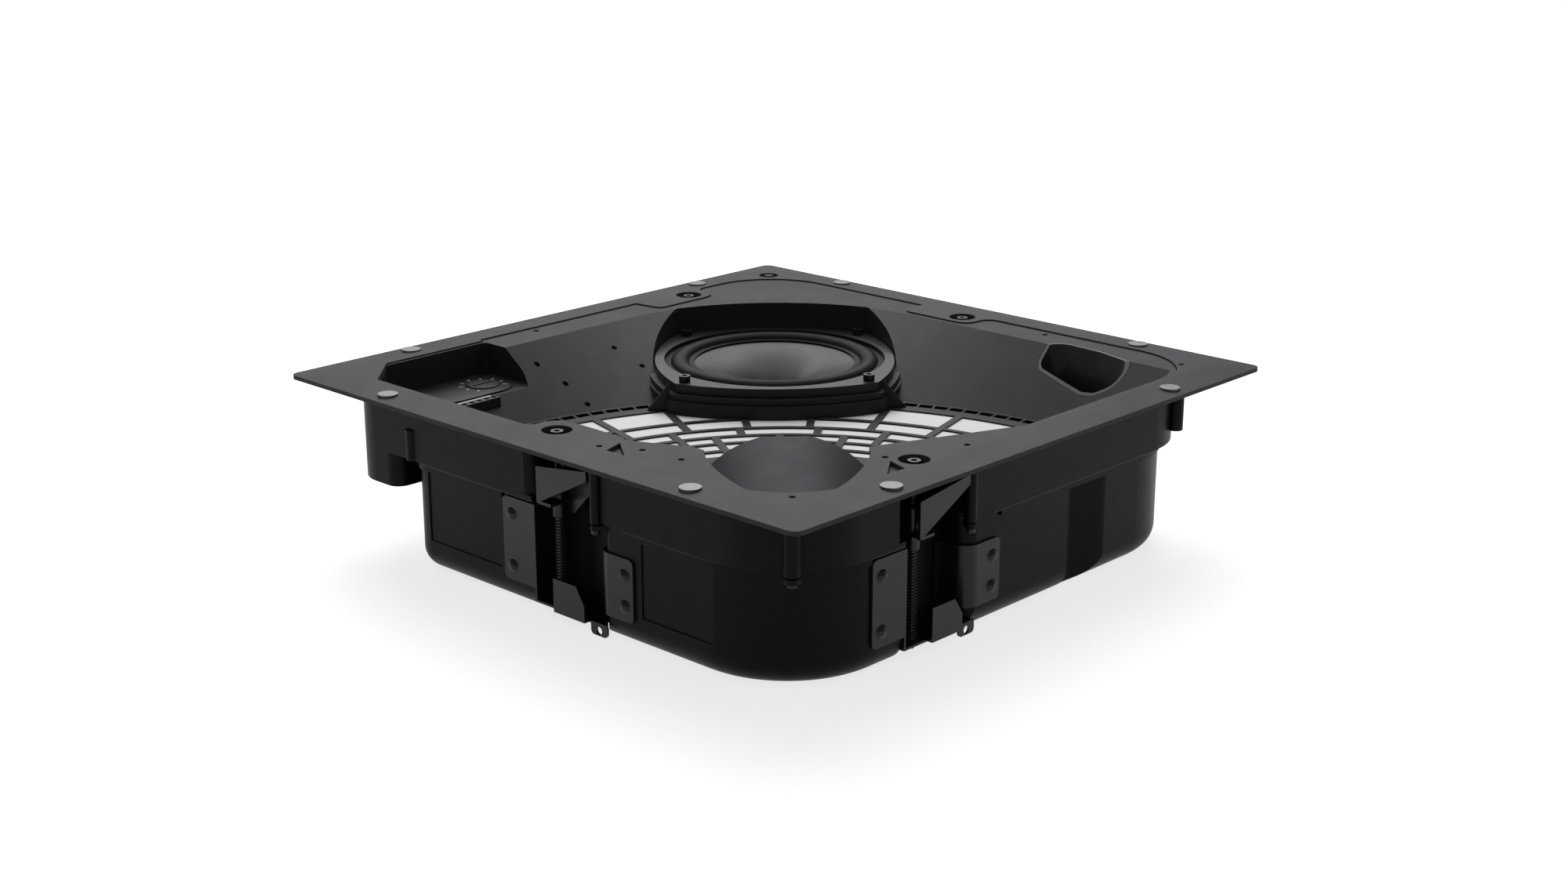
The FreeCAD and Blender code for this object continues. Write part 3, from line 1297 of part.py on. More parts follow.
def terminal_body(clearance):
    """The terminal block's outside, grown by a clearance."""
    top = POCKET_FLOOR + TERMINAL_PROUD
    low = (TERMINAL_LOW_X - clearance, TERMINAL_LOW_Y - clearance, top - TERMINAL_HEIGHT - clearance)
    high_x = TERMINAL_LOW_X + TERMINAL_LENGTH + clearance
    return block(low, (high_x, TERMINAL_LOW_Y + TERMINAL_WIDTH + clearance, top + clearance))


def terminal_block():
    pitch = TERMINAL_LENGTH / TERMINAL_WAYS
    middle_y = TERMINAL_LOW_Y + TERMINAL_WIDTH / 2
    foot = POCKET_FLOOR + TERMINAL_PROUD - TERMINAL_WAY_DEPTH
    middles = [TERMINAL_LOW_X + (way + 0.5) * pitch for way in range(TERMINAL_WAYS)]
    return cleared(terminal_body(0), [post(TERMINAL_WAY_R, foot, ABOVE, x, middle_y) for x in middles])


# Inside the can
def crossover_board():
    x, y = BOARD_CORNER
    length, width = BOARD_SIZE
    low = CAN_WALL + BOARD_LIFT
    top = low + BOARD_THICK
    inset = BOARD_POST_INSET
    pieces = [block((x, y, low), (x + length, y + width, top))]
    for along in (inset, length - inset):
        pieces += [post(BOARD_POST_R, CAN_WALL, low, x + along, y + out) for out in (inset, width - inset)]
    for along, out, radius, height in CHOKES:
        pieces.append(post(radius, top, top + height, x + along, y + out))
    start, out = CAPACITOR_START
    for step in range(CAPACITORS):
        along = start + step * CAPACITOR_PITCH
        pieces.append(post(CAPACITOR_R, top, top + CAPACITOR_HEIGHT, x + along, y + out))
    return fused(pieces)


def line_transformer():
    x, y = TRANSFORMER_CORNER
    length, width, height = TRANSFORMER_SIZE
    core = block((x, y, CAN_WALL), (x + length, y + width, CAN_WALL + height))
    middle = x + length / 2
    half = TRANSFORMER_COIL_WIDTH / 2
    coil = block(
        (middle - half, y - TRANSFORMER_COIL, CAN_WALL + TRANSFORMER_COIL_INSET),
        (middle + half, y + width + TRANSFORMER_COIL, CAN_WALL + height - TRANSFORMER_COIL_INSET))
    edges = [edge for edge in coil.Edges if edge.BoundBox.ZLength < TOUCH and edge.BoundBox.YLength < TOUCH]
    return fused([core, coil.makeFillet(TRANSFORMER_COIL_R, edges)])


# Swing clamps, each drawn about its screw with the wall towards -Y
def rivet_shanks(radius):
    inner = CAN_FACE + CAN_WALL
    outer = CAN_FACE - BRACKET_SHEET
    return [
        Part.makeCylinder(radius, inner - outer, Vector(along, outer, height), Vector(0, 1, 0))
        for along, height in RIVET_PLACES
    ]


def clamp_rivets():
    rivets = []
    face = CAN_FACE - BRACKET_SHEET
    inside = CAN_FACE + CAN_WALL
    reach = 2 * RIVET_HEAD_R
    bulge = (RIVET_HEAD_R ** 2 + RIVET_HEAD_HEIGHT ** 2) / (2 * RIVET_HEAD_HEIGHT)
    for (along, height), shank in zip(RIVET_PLACES, rivet_shanks(RIVET_R)):
        ball = Part.makeSphere(bulge, Vector(along, face + bulge - RIVET_HEAD_HEIGHT, height))
        dome = ball.common(block((along - reach, face - reach, height - reach), (along + reach, face, height + reach)))
        tail = Part.makeCylinder(RIVET_TAIL_R, RIVET_TAIL, Vector(along, inside, height), Vector(0, 1, 0))
        rivets.append(fused([dome, shank, tail]))
    return Part.makeCompound(rivets)


def clamp_bracket():
    """One folded sheet: a wing on each side of the cavity, a floor with a stop, and a tab with an eye."""
    face = CAN_FACE
    sheet = BRACKET_SHEET
    front = face - sheet
    short = BRACKET_FOLD_SHORT
    long = BRACKET_FOLD_LONG
    back = BRACKET_IN
    low = BRACKET_FLOOR
    wing = block((BRACKET_WING_END, front, BRACKET_WING_LOW), (short + sheet, face, BRACKET_WING_TOP))
    far_wing = block((BRACKET_FAR_WING_START, front, BRACKET_WING_LOW), (BRACKET_FAR_WING_END, face, BRACKET_FAR_TOP))
    cheek = block((short, front, low), (short + sheet, back, BRACKET_WING_TOP))
    strip = slab(outline([
        (BRACKET_WEB_START, back, 0),
        (long, back, 0),
        (long, face, BRACKET_FOLD_R),
        (BRACKET_FAR_WING_START + sheet, face, 0),
        (BRACKET_FAR_WING_START + sheet, front, 0),
        (long - sheet, front, BRACKET_FOLD_R + sheet),
        (long - sheet, back - sheet, 0),
        (BRACKET_WEB_START, back - sheet, 0),
    ]), BRACKET_WING_LOW, BRACKET_FAR_TOP)
    riser = block((BRACKET_WEB_START, back - sheet, low), (long, back, BRACKET_FAR_TOP))
    tab_end = TAB_MIDDLE + TAB_WIDTH / 2
    floor = slab(outline([
        (short, front, 0),
        (tab_end, front, 0),
        (tab_end, face - CAVITY_CLEARANCE, 0),
        (long, face + BRACKET_FLOOR_CUT, 0),
        (long, back, 0),
        (short, back, 0),
    ]), low, low + sheet)
    stop_front = -BRACKET_STOP_OUT - sheet
    apron = block((BRACKET_STOP_LOW, stop_front, low), (BRACKET_STOP_HIGH, front, low + sheet))
    stop = upright([
        (BRACKET_STOP_LOW, low),
        (BRACKET_STOP_HIGH, low),
        (BRACKET_STOP_HIGH, BRACKET_STOP_TOP - BRACKET_STOP_SLOPE),
        (BRACKET_STOP_HIGH - BRACKET_STOP_SLANT, BRACKET_STOP_TOP),
        (BRACKET_STOP_LOW, BRACKET_STOP_TOP),
    ], stop_front, -BRACKET_STOP_OUT)
    tab = block((tab_end - TAB_WIDTH, front, TAB_LOW), (tab_end, face, low))
    tab_corners = [
        edge for edge in tab.Edges if edge.BoundBox.ZMax < TAB_LOW + TOUCH and edge.BoundBox.XLength < TOUCH
    ]
    tab = tab.makeFillet(TAB_CORNER_R, tab_corners)
    eye_height = (TAB_LOW + low) / 2
    eye = Part.makeCylinder(TAB_HOLE_R, FAR, Vector(TAB_MIDDLE, -FAR / 2, eye_height), Vector(0, 1, 0))
    screw_hole = post(SCREW_R + RUN_CLEARANCE, BELOW, ABOVE)
    wings = [softened(wing, BRACKET_WING_END), softened(far_wing, BRACKET_FAR_WING_END)]
    solid = fused(wings + [cheek, strip, riser, floor, apron, stop, tab])
    return cleared(solid, [eye, screw_hole] + rivet_shanks(RIVET_R + RUN_CLEARANCE))


def softened(plate, end):
    """A wing with its outer corners rounded."""
    corners = []
    for edge in plate.Edges:
        box = edge.BoundBox
        if abs(box.XMin - end) < TOUCH and box.XLength < TOUCH and box.ZLength < TOUCH:
            corners.append(edge)
    return plate.makeFillet(BRACKET_CORNER_R, corners)


def clamp_screw():
    low = CLAMP_RECESS + SEAT_CLEARANCE
    head_low = low + SCREW_FLANGE
    head_top = head_low + SCREW_HEAD_HEIGHT
    socket_r = SCREW_SOCKET_AF / math.sqrt(3)
    angles = [math.radians(60 * side) for side in range(6)]
    hexagon = outline([(socket_r * math.cos(a), socket_r * math.sin(a), 0) for a in angles])
    socket = slab(hexagon, head_top - SCREW_SOCKET_DEPTH, ABOVE)
    head = [post(SCREW_FLANGE_R, low, head_low), post(SCREW_HEAD_R, head_low, head_top)]
    return fused(head + [post(SCREW_R, SCREW_TIP_HEIGHT, low)]).cut(socket)


def clamp_arm():
    """Folded channel outside the skirt, with a tube that turns and slides on the screw."""
    sheet = ARM_SHEET
    top = EDGE_TOP - ARM_TOP_DROP
    foot = EDGE_TOP - ARM_FOOT_DROP
    tip_top = EDGE_TOP - ARM_TIP_TOP_DROP
    tip_low = EDGE_TOP - ARM_TIP_LOW_DROP
    cheek_foot = EDGE_TOP - ARM_CHEEK_FOOT_DROP
    back = ARM_CHEEK_BACK
    tip = [(ARM_LENGTH, tip_low), (ARM_LENGTH, tip_top)]
    plate = upright([(-ARM_BACK, foot)] + tip + [(-ARM_BACK, top)], -ARM_OUT, sheet - ARM_OUT)
    heel = [(-back, cheek_foot), (ARM_CHEEK_HEEL, cheek_foot)]
    cheek = upright(heel + tip + [(-back, top)], ARM_IN - sheet, ARM_IN)
    slope = (tip_low - foot) / (ARM_LENGTH + ARM_BACK)
    web_foot = foot + slope * (ARM_WEB_START + ARM_BACK)
    web = upright([
        (ARM_WEB_START, web_foot),
        (ARM_LENGTH, tip_low),
        (ARM_LENGTH, tip_low + sheet),
        (ARM_WEB_START, web_foot + sheet),
    ], -ARM_OUT, ARM_IN)
    nose = block((ARM_LENGTH - sheet, -ARM_OUT, tip_low), (ARM_LENGTH, ARM_IN, tip_top))
    lug_tops = (EDGE_TOP - ARM_LUG_DROP, foot + sheet)
    lugs = [block((-back, -ARM_OUT, high - sheet), (back, ARM_IN, high)) for high in lug_tops]
    tube = post(ARM_TUBE_R, EDGE_TOP - ARM_TUBE_FOOT_DROP, EDGE_TOP - ARM_TUBE_TOP_DROP)
    bore = post(SCREW_R + RUN_CLEARANCE, BELOW, ABOVE)
    return fused([plate, cheek, web, nose, tube] + lugs).cut(bore)


def clamp_spring():
    low = BRACKET_FLOOR + BRACKET_SHEET
    high = EDGE_TOP - ARM_TUBE_FOOT_DROP - SEAT_CLEARANCE
    return post(SPRING_R, low, high).cut(post(SPRING_R - SPRING_WIRE, low, high))


def write(name, shape):
    shape.exportStep(os.path.join("parts", name + ".step"))


SINGLE_PIECES = (
    bezel_frame, back_can, can_gasket, skirt_screws, grille_magnets, baffle, bass_port, throat_cover, waveguide_grille,
    acoustic_screen, waveguide_tray, hf_driver, woofer_basket, woofer_screws, woofer_surround, woofer_cone, dust_cap,
    voice_coil, spider, top_plate, ring_magnet, pole_piece, control_plate, tap_knob, terminal_block, crossover_board,
    line_transformer,
)
CLAMP_PIECES = (clamp_bracket, clamp_rivets, clamp_screw, clamp_arm, clamp_spring)


def main():
    os.makedirs("parts", exist_ok=True)
    for piece in SINGLE_PIECES:
        write(piece.__name__, piece())
    for piece in CLAMP_PIECES:
        shape = piece()
        for clamp in CLAMPS:
            write(piece.__name__ + "_" + clamp, at_clamp(shape, clamp))


main()
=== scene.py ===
"""Studio view of the square flush-mount loudspeaker.

Gives the solids their finishes, and makes the spring coils, the surround and the printed marks as pieces of
their own.
"""

import math

import bpy
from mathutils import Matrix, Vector


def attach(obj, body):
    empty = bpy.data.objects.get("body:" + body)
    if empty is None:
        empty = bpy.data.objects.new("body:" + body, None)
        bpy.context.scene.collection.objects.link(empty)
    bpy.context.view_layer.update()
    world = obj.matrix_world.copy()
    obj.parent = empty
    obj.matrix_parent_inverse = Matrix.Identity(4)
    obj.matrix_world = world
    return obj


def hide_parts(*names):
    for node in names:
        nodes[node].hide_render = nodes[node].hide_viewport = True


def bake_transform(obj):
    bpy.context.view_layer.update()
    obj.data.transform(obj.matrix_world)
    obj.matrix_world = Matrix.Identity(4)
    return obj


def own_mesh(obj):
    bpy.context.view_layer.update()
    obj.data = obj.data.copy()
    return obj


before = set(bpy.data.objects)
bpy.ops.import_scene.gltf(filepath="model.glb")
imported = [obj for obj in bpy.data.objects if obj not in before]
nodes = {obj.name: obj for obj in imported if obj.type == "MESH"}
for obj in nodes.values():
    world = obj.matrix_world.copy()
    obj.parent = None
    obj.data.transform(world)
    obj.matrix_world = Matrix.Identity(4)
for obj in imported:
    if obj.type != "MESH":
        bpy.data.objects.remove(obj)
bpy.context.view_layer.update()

# Places shared with the solids, in metres
WOOFER_X = 0.077782
CONE_TOP = 0.1035
BEZEL_BACK = 0.124
CLAMPS = {"front": (0, -0.098), "right": (90, 0.0), "back": (180, -0.114), "left": (270, 0.0)}
CLAMP_REACH = 0.208
SPRING_LOW = 0.0096
SPRING_HIGH = 0.0702
KNOB = (-0.121, 0.183)
PLATE_FACE = 0.1057
POCKET_FLOOR = 0.1045

# Scales and spreads of the grain, sheen and marks in the finishes
CLOUD_SCALE = 14.0
SHEEN_SCALE = 60.0
SHEEN_SPREAD = 0.06
GRAIN_STRENGTH = 0.25
PLATE_MARK_SCALE = 300.0
PLATE_MARK_STRETCH = (1.0, 8.0, 1.0)
PLATE_SPREAD = 0.08
CONE_RING_SCALE = 160.0
CONE_SHEEN_SCALE = 120.0


# Materials
class Finish:
    """A node material built around one principled shader."""

    def __init__(self, name):
        self.material = bpy.data.materials.new(name)
        self.material.use_nodes = True
        self.tree = self.material.node_tree
        self.shader = self.tree.nodes["Principled BSDF"]
        self.place = self.add("ShaderNodeTexCoord").outputs["Object"]

    def add(self, kind, **values):
        node = self.tree.nodes.new(kind)
        for key, value in values.items():
            setattr(node, key, value)
        return node

    def link(self, source, target):
        self.tree.links.new(source, target)

    def noise(self, scale, detail=4.0, stretch=None):
        texture = self.add("ShaderNodeTexNoise")
        texture.inputs["Scale"].default_value = scale
        texture.inputs["Detail"].default_value = detail
        place = self.place
        if stretch:
            mapping = self.add("ShaderNodeMapping")
            mapping.inputs["Scale"].default_value = stretch
            self.link(place, mapping.inputs["Vector"])
            place = mapping.outputs["Vector"]
        self.link(place, texture.inputs["Vector"])
        return texture.outputs["Fac"]

    def ramp(self, source, stops):
        ramp = self.add("ShaderNodeValToRGB")
        first, last = ramp.color_ramp.elements
        first.position, first.color = stops[0][0], (*stops[0][1], 1)
        last.position, last.color = stops[-1][0], (*stops[-1][1], 1)
        for position, colour in stops[1:-1]:
            ramp.color_ramp.elements.new(position).color = (*colour, 1)
        self.link(source, ramp.inputs["Fac"])
        return ramp.outputs["Color"]

    def spread(self, source, low, high):
        node = self.add("ShaderNodeMapRange")
        node.inputs["To Min"].default_value = low
        node.inputs["To Max"].default_value = high
        self.link(source, node.inputs["Value"])
        return node.outputs["Result"]

    def bump(self, source, strength, distance):
        node = self.add("ShaderNodeBump")
        node.inputs["Strength"].default_value = strength
        node.inputs["Distance"].default_value = distance
        self.link(source, node.inputs["Height"])
        self.link(node.outputs["Normal"], self.shader.inputs["Normal"])

    def set(self, socket, value):
        self.shader.inputs[socket].default_value = value


def tinted(colour, factor):
    return tuple(channel * factor for channel in colour)


def moulded(name, colour, roughness, specular, grain=1400.0, depth=0.00004):
    """Moulded plastic or coated metal: fine grain, faint clouding and small changes of sheen."""
    finish = Finish(name)
    clouds = finish.noise(CLOUD_SCALE, detail=3.0)
    finish.link(finish.ramp(clouds, [(0.3, tinted(colour, 0.88)), (0.7, tinted(colour, 1.1))]),
                finish.shader.inputs["Base Color"])
    sheen = finish.noise(SHEEN_SCALE, detail=5.0)
    finish.link(finish.spread(sheen, roughness - SHEEN_SPREAD, roughness + SHEEN_SPREAD),
                finish.shader.inputs["Roughness"])
    finish.set("Specular IOR Level", specular)
    finish.bump(finish.noise(grain, detail=2.0), GRAIN_STRENGTH, depth)
    return finish.material


def bright_plate(name, colour, roughness):
    """Bright plated metal with faint turning marks."""
    finish = Finish(name)
    marks = finish.noise(PLATE_MARK_SCALE, detail=4.0, stretch=PLATE_MARK_STRETCH)
    finish.link(finish.ramp(marks, [(0.2, tinted(colour, 0.8)), (0.8, colour)]),
                finish.shader.inputs["Base Color"])
    finish.set("Metallic", 0.9)
    finish.link(finish.spread(marks, roughness - PLATE_SPREAD, roughness + PLATE_SPREAD),
                finish.shader.inputs["Roughness"])
    finish.bump(marks, strength=0.1, distance=0.00002)
    return finish.material


def woven(name, colour, threads):
    """Fine open cloth: two crossing sets of threads."""
    finish = Finish(name)
    waves = []
    for direction in ("X", "Y"):
        wave = finish.add("ShaderNodeTexWave", wave_type="BANDS", bands_direction=direction)
        wave.inputs["Scale"].default_value = threads
        wave.inputs["Distortion"].default_value = 0.4
        finish.link(finish.place, wave.inputs["Vector"])
        waves.append(wave.outputs["Fac"])
    cross = finish.add("ShaderNodeMath", operation="MAXIMUM")
    finish.link(waves[0], cross.inputs[0])
    finish.link(waves[1], cross.inputs[1])
    finish.link(finish.ramp(cross.outputs["Value"], [(0.3, tinted(colour, 0.82)), (0.8, colour)]),
                finish.shader.inputs["Base Color"])
    finish.set("Roughness", 0.9)
    finish.set("Specular IOR Level", 0.1)
    finish.bump(cross.outputs["Value"], strength=0.3, distance=0.00008)
    return finish.material


def cone_paper(name, colour):
    """Satin cone: fine rings about the woofer's axis."""
    finish = Finish(name)
    mapping = finish.add("ShaderNodeMapping")
    mapping.inputs["Location"].default_value = (-WOOFER_X, -WOOFER_X, 0)
    finish.link(finish.place, mapping.inputs["Vector"])
    rings = finish.add("ShaderNodeTexWave", wave_type="RINGS", rings_direction="Z")
    rings.inputs["Scale"].default_value = CONE_RING_SCALE
    rings.inputs["Distortion"].default_value = 1.5
    finish.link(mapping.outputs["Vector"], rings.inputs["Vector"])
    finish.link(finish.ramp(rings.outputs["Fac"], [(0.0, tinted(colour, 0.92)), (1.0, tinted(colour, 1.06))]),
                finish.shader.inputs["Base Color"])
    sheen = finish.spread(finish.noise(CONE_SHEEN_SCALE), low=0.3, high=0.42)
    finish.link(sheen, finish.shader.inputs["Roughness"])
    finish.set("Specular IOR Level", 0.2)
    finish.bump(rings.outputs["Fac"], strength=0.06, distance=0.00005)
    return finish.material


# Lit and shaded copies of the one frame moulding: the side tone is painted shade, darker than the front only
# because the sides face away from the lamps
FRAME_LIT_FRONT = moulded("frame_lit_front_tone", (0.056, 0.057, 0.06), roughness=0.55, specular=0.1)
FRAME_SHADED_SIDE = moulded("frame_painted_shade_side", (0.009, 0.009, 0.01), roughness=0.42, specular=0.08)
CAN_BLACK = moulded("can_moulding", (0.007, 0.007, 0.008), roughness=0.4, specular=0.08, grain=900.0)
BAFFLE_GREY = moulded("baffle_moulding", (0.024, 0.025, 0.027), roughness=0.5, specular=0.12)
PORT_GLOSS = moulded("port_moulding", (0.02, 0.02, 0.021), roughness=0.28, specular=0.25)
COVER_GREY = moulded("cover_moulding", (0.03, 0.031, 0.034), roughness=0.55, specular=0.08)
DARK_MOULDING = moulded("dark_moulding", (0.008, 0.008, 0.009), roughness=0.45, specular=0.2)
BLACK_COAT = moulded("black_coat", (0.012, 0.012, 0.013), roughness=0.32, specular=0.28, grain=1800.0)
# The spring coils are black like the other clamp hardware; their lighter tone here is a painted glint
# standing in for their highlights
SPRING_GLINT_TONE = moulded("spring_painted_glint", (0.05, 0.05, 0.052), roughness=0.25, specular=0.5, grain=1800.0)
BASKET_COAT = moulded("basket_coat", (0.018, 0.018, 0.019), roughness=0.4, specular=0.25, grain=1800.0)
RUBBER = moulded("surround_rubber_skin", (0.009, 0.009, 0.01), roughness=0.45, specular=0.06,
                 grain=2200.0, depth=0.00002)
CONE = cone_paper("cone_skin", (0.03, 0.03, 0.032))
CAP = cone_paper("cap_skin", (0.04, 0.04, 0.042))
BRIGHT = bright_plate("magnet_plating", (0.17, 0.17, 0.167), roughness=0.42)
STEEL = bright_plate("motor_plating", (0.5, 0.5, 0.5), roughness=0.45)
FORMER = moulded("coil_former", (0.03, 0.028, 0.026), roughness=0.5, specular=0.2)
CLOTH = woven("screen_weave", (0.85, 0.85, 0.84), threads=900.0)
SPIDER_CLOTH = woven("spider_weave", (0.5, 0.36, 0.14), threads=500.0)
BOARD = moulded("board_lacquer", (0.03, 0.13, 0.06), roughness=0.4, specular=0.4, grain=500.0)
MARKS = moulded("printed_marks", (0.6, 0.6, 0.6), roughness=0.6, specular=0.2)

FINISHES = {
    "back_can": CAN_BLACK, "can_gasket": DARK_MOULDING, "skirt_screws": BLACK_COAT, "grille_magnets": BRIGHT,
    "baffle": BAFFLE_GREY, "bass_port": PORT_GLOSS, "throat_cover": COVER_GREY,
    "waveguide_grille": BAFFLE_GREY, "acoustic_screen": CLOTH, "waveguide_tray": DARK_MOULDING,
    "hf_driver": BASKET_COAT,
    "woofer_basket": BASKET_COAT, "woofer_screws": BLACK_COAT, "woofer_cone": CONE, "dust_cap": CAP,
    "voice_coil": FORMER, "spider": SPIDER_CLOTH, "top_plate": STEEL, "ring_magnet": DARK_MOULDING,
    "pole_piece": STEEL, "control_plate": DARK_MOULDING, "tap_knob": DARK_MOULDING,
    "terminal_block": DARK_MOULDING, "crossover_board": BOARD, "line_transformer": BASKET_COAT,
}
for clamp in CLAMPS:
    for piece in ("bracket", "rivets", "screw", "arm"):
        FINISHES["clamp_" + piece + "_" + clamp] = BLACK_COAT


def smooth(mesh, angle=35):
    for polygon in mesh.polygons:
        polygon.use_smooth = True
    mesh.set_sharp_from_angle(angle=math.radians(angle))


def dress(node, material):
    mesh = nodes[node].data
    mesh.materials.clear()
    mesh.materials.append(material)
    smooth(mesh)


for node, material in FINISHES.items():
    dress(node, material)

# The frame's front above its flange's back in the lit tone, and its sides below in a far darker copy of the
# same moulding: painted shade on the sides
FLANGE_MARGIN = 0.0002
dress("bezel_frame", FRAME_LIT_FRONT)
frame_mesh = nodes["bezel_frame"].data
frame_mesh.materials.append(FRAME_SHADED_SIDE)
for polygon in frame_mesh.polygons:
    if polygon.center.z < BEZEL_BACK + FLANGE_MARGIN:
        polygon.material_index = 1


# Helpers for the pieces made here
def mesh_piece(name, points, faces, material):
    mesh = bpy.data.meshes.new(name)
    mesh.from_pydata(points, [], faces)
    mesh.validate()
    mesh.materials.append(material)
    smooth(mesh, angle=50)
    piece = bpy.data.objects.new(name, mesh)
    bpy.context.scene.collection.objects.link(piece)
    return piece


def tube(path, radius, sides):
    """Points and faces of a closed round tube along a path of points."""
    points = []
    faces = []
    for index, here in enumerate(path):
        before = path[max(index - 1, 0)]
        after = path[min(index + 1, len(path) - 1)]
        along = (after - before).normalized()
        side = along.cross(Vector((0, 0, 1))).normalized()
        up = side.cross(along)
        for step in range(sides):
            turn = 2 * math.pi * step / sides
            points.append(here + side * (radius * math.cos(turn)) + up * (radius * math.sin(turn)))
    for index in range(len(path) - 1):
        for step in range(sides):
            low = index * sides
            high = low + sides
            following = (step + 1) % sides
            faces.append((low + step, low + following, high + following, high + step))
    last = (len(path) - 1) * sides
    faces.append(tuple(reversed(range(sides))))
    faces.append(tuple(range(last, last + sides)))
    return points, faces


# Clamp springs: coils of wire with closed ends
SPRING_RADIUS = 0.0031
SPRING_WIRE = 0.00045
SPRING_TURNS = 30
SPRING_TURN_STEPS = 18
SPRING_CLOSED_SHARE = 0.03
SPRING_WIRE_SIDES = 6


def screw_place(clamp):
    """Where a clamp's screw stands."""
    angle, along = CLAMPS[clamp]
    turn = math.radians(angle)
    x = along * math.cos(turn) + CLAMP_REACH * math.sin(turn)
    y = along * math.sin(turn) - CLAMP_REACH * math.cos(turn)
    return x, y


def clamp_spring(clamp):
    x, y = screw_place(clamp)
    steps = SPRING_TURNS * SPRING_TURN_STEPS
    low = SPRING_LOW + SPRING_WIRE
    height = SPRING_HIGH - SPRING_WIRE - low
    path = []
    for step in range(steps + 1):
        share = step / steps
        turn = 2 * math.pi * SPRING_TURNS * share
        risen = (share - SPRING_CLOSED_SHARE) / (1 - 2 * SPRING_CLOSED_SHARE)
        here = low + height * max(0.0, min(1.0, risen))
        path.append(Vector((x + SPRING_RADIUS * math.cos(turn), y + SPRING_RADIUS * math.sin(turn), here)))
    points, faces = tube(path, SPRING_WIRE, SPRING_WIRE_SIDES)
    spring = mesh_piece("spring_coil_" + clamp, points, faces, SPRING_GLINT_TONE)
    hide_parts("clamp_spring_" + clamp)
    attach(spring, "casing")
    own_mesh(spring)


for clamp in CLAMPS:
    clamp_spring(clamp)


# Surround: a half roll in sectors
SECTORS = 16
SECTOR_STEPS = 6
SURROUND_OUTER = 0.0837
SURROUND_INNER = 0.061
ROLL_MIDDLE = 0.072
ROLL_HALF = 0.007
ROLL_RISE = 0.0042
ROLL_SKIN = 0.0012
ROLL_STEPS = 12


def roll(half, base):
    """Radius and height pairs over the arc of the half roll, from the outside in."""
    radius = (half * half + ROLL_RISE * ROLL_RISE) / (2 * ROLL_RISE)
    reach = math.asin(half / radius)
    points = []
    for step in range(ROLL_STEPS + 1):
        turn = reach * (1 - 2 * step / ROLL_STEPS)
        height = base + ROLL_RISE - radius * (1 - math.cos(turn))
        points.append((ROLL_MIDDLE + radius * math.sin(turn), height))
    return points


def surround_profile():
    """Radius and height pairs round the closed section of the half roll."""
    high = CONE_TOP + ROLL_SKIN
    top = [(SURROUND_OUTER, CONE_TOP), (SURROUND_OUTER, high)] + roll(ROLL_HALF, high)
    foot = [(SURROUND_INNER, high), (SURROUND_INNER, CONE_TOP)]
    return top + foot + list(reversed(roll(ROLL_HALF - ROLL_SKIN, CONE_TOP)))


def surround_sector(index):
    profile = surround_profile()
    count = len(profile)
    width = 2 * math.pi / SECTORS
    points = []
    faces = []
    for step in range(SECTOR_STEPS + 1):
        turn = (index + step / SECTOR_STEPS) * width
        for radius, height in profile:
            points.append((WOOFER_X + radius * math.cos(turn), WOOFER_X + radius * math.sin(turn), height))
    for step in range(SECTOR_STEPS):
        for place in range(count):
            low = step * count
            following = (place + 1) % count
            faces.append((low + place, low + count + place, low + count + following, low + following))
    sector = mesh_piece("surround_%02d" % index, points, faces, RUBBER)
    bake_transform(sector)
    return sector


sectors = [surround_sector(index) for index in range(SECTORS)]
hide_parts("woofer_surround")


# Marks on the control plate and the bare label beside the terminals
PRINT = 0.00008
LABEL_MIDDLE = (-0.150, 0.1589)
LABEL_HALF = (0.017, 0.0016)
MARK_COUNT = 9
MARK_START = -40
MARK_STEP = 32.5
MARK_RING = 0.0145
MARK_HALF_LONG = 0.0018
MARK_HALF_SHORT = 0.0012
MARK_HALF_WIDE = 0.0004


def printed_bar(points, faces, middle, along, half_long, half_wide):
    """One thin flat bar, added to a list of points and a list of faces."""
    across = Vector((-along.y, along.x, 0)) * half_wide
    reach = along * half_long
    start = len(points)
    for height in (0, PRINT):
        base = middle + Vector((0, 0, height))
        points += [base - reach - across, base + reach - across, base + reach + across, base - reach + across]
    faces += [tuple(start + i for i in (3, 2, 1, 0)), tuple(start + i for i in (4, 5, 6, 7))]
    faces += [(start + i, start + (i + 1) % 4, start + 4 + (i + 1) % 4, start + 4 + i) for i in range(4)]


def knob_marks():
    points = []
    faces = []
    for step in range(MARK_COUNT):
        turn = math.radians(MARK_START + step * MARK_STEP)
        half_long = MARK_HALF_LONG if step % 2 == 0 else MARK_HALF_SHORT
        along = Vector((math.cos(turn), math.sin(turn), 0))
        middle = Vector((*KNOB, PLATE_FACE + PRINT)) + along * (MARK_RING + half_long)
        printed_bar(points, faces, middle, along, half_long, MARK_HALF_WIDE)
    marks = mesh_piece("knob_marks", points, faces, MARKS)
    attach(marks, "casing")


def label_strip():
    points = []
    faces = []
    middle = Vector((*LABEL_MIDDLE, POCKET_FLOOR + PRINT))
    printed_bar(points, faces, middle, Vector((1, 0, 0)), *LABEL_HALF)
    label = mesh_piece("label_strip", points, faces, MARKS)
    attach(label, "casing")


knob_marks()
label_strip()


# Stage, light and camera
FLOOR_SIZE = 40
FLOOR_GRAIN_SCALE = 3.0
FADE_NEAR = 0.3
FADE_FAR = 2.6
GLOW_NEAR = 0.75
GLOW_FAR = 1.0
WORLD_LIGHT = 0.25
AIM = (0, 0, 0.1)
LENS = 50
SENSOR = 36
CAMERA_PLACE = (-1.08604, -1.02773, 0.53592)
CAMERA_TURN = 43.27
CAMERA_DIP = -17.158


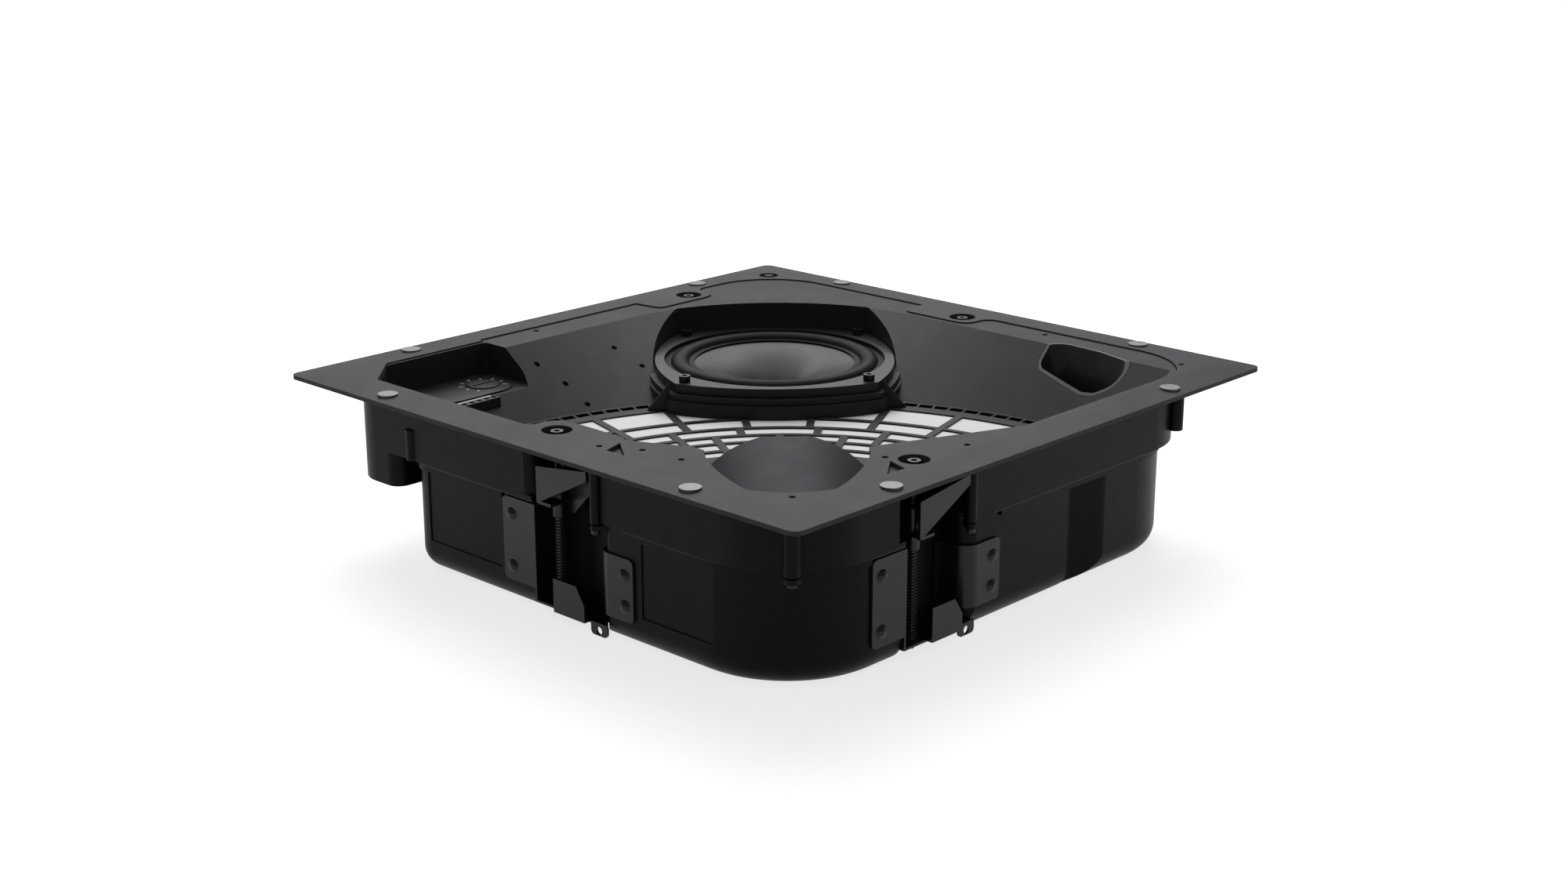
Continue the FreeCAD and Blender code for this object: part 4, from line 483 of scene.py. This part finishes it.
def stage_floor():
    """Pale floor that keeps the part's shadow and grows white to the eye away from it."""
    bpy.ops.mesh.primitive_plane_add(size=FLOOR_SIZE, location=(0, 0, 0))
    floor = bpy.context.active_object
    floor.name = "floor"
    finish = Finish("floor_paper")
    grain = finish.noise(FLOOR_GRAIN_SCALE, detail=2.0)
    finish.link(finish.ramp(grain, [(0.2, (0.49, 0.49, 0.49)), (0.8, (0.51, 0.51, 0.51))]),
                finish.shader.inputs["Base Color"])
    finish.set("Roughness", 0.95)
    finish.set("Specular IOR Level", 0.0)
    rays = finish.add("ShaderNodeLightPath")
    seen = finish.add("ShaderNodeMath", operation="MAXIMUM")
    finish.link(rays.outputs["Is Camera Ray"], seen.inputs[0])
    finish.link(rays.outputs["Is Glossy Ray"], seen.inputs[1])
    either = finish.add("ShaderNodeMath", operation="MAXIMUM")
    finish.link(seen.outputs["Value"], either.inputs[0])
    finish.link(rays.outputs["Is Transmission Ray"], either.inputs[1])
    away = finish.add("ShaderNodeVectorMath", operation="LENGTH")
    finish.link(finish.place, away.inputs[0])
    fade = finish.add("ShaderNodeMapRange")
    fade.inputs["From Min"].default_value = FADE_NEAR
    fade.inputs["From Max"].default_value = FADE_FAR
    fade.inputs["To Min"].default_value = GLOW_NEAR
    fade.inputs["To Max"].default_value = GLOW_FAR
    finish.link(away.outputs["Value"], fade.inputs["Value"])
    lift = finish.add("ShaderNodeMath", operation="MULTIPLY")
    finish.link(fade.outputs["Result"], lift.inputs[1])
    finish.link(either.outputs["Value"], lift.inputs[0])
    finish.set("Emission Color", (1, 1, 1, 1))
    finish.link(lift.outputs["Value"], finish.shader.inputs["Emission Strength"])
    floor.data.materials.append(finish.material)


def stage_world():
    world = bpy.data.worlds.new("studio")
    bpy.context.scene.world = world
    world.use_nodes = True
    tree = world.node_tree
    background = tree.nodes["Background"]
    background.inputs["Color"].default_value = (1, 1, 1, 1)
    background.inputs["Strength"].default_value = WORLD_LIGHT


def area_light(name, place, size, energy):
    data = bpy.data.lights.new(name, "AREA")
    data.shape = "RECTANGLE"
    data.size, data.size_y = size
    data.energy = energy
    light = bpy.data.objects.new(name, data)
    bpy.context.scene.collection.objects.link(light)
    light.location = place
    light.rotation_euler = (Vector(AIM) - Vector(place)).to_track_quat("-Z", "Y").to_euler()


def photo_camera():
    data = bpy.data.cameras.new("photo_view")
    data.lens = LENS
    data.sensor_width = SENSOR
    camera = bpy.data.objects.new("photo_view", data)
    bpy.context.scene.collection.objects.link(camera)
    camera.location = CAMERA_PLACE
    turn = math.radians(CAMERA_TURN)
    dip = math.radians(CAMERA_DIP)
    gaze = Vector((math.cos(dip) * math.cos(turn), math.cos(dip) * math.sin(turn), math.sin(dip)))
    camera.rotation_euler = gaze.to_track_quat("-Z", "Y").to_euler()
    bpy.context.scene.camera = camera


stage_floor()
stage_world()
area_light("overhead", place=(0.75, 0.8, 2.0), size=(2.0, 2.0), energy=37)
area_light("back_glow", place=(1.3, 1.5, 1.3), size=(2.0, 1.2), energy=15)
photo_camera()
bpy.context.scene.view_settings.view_transform = "Standard"
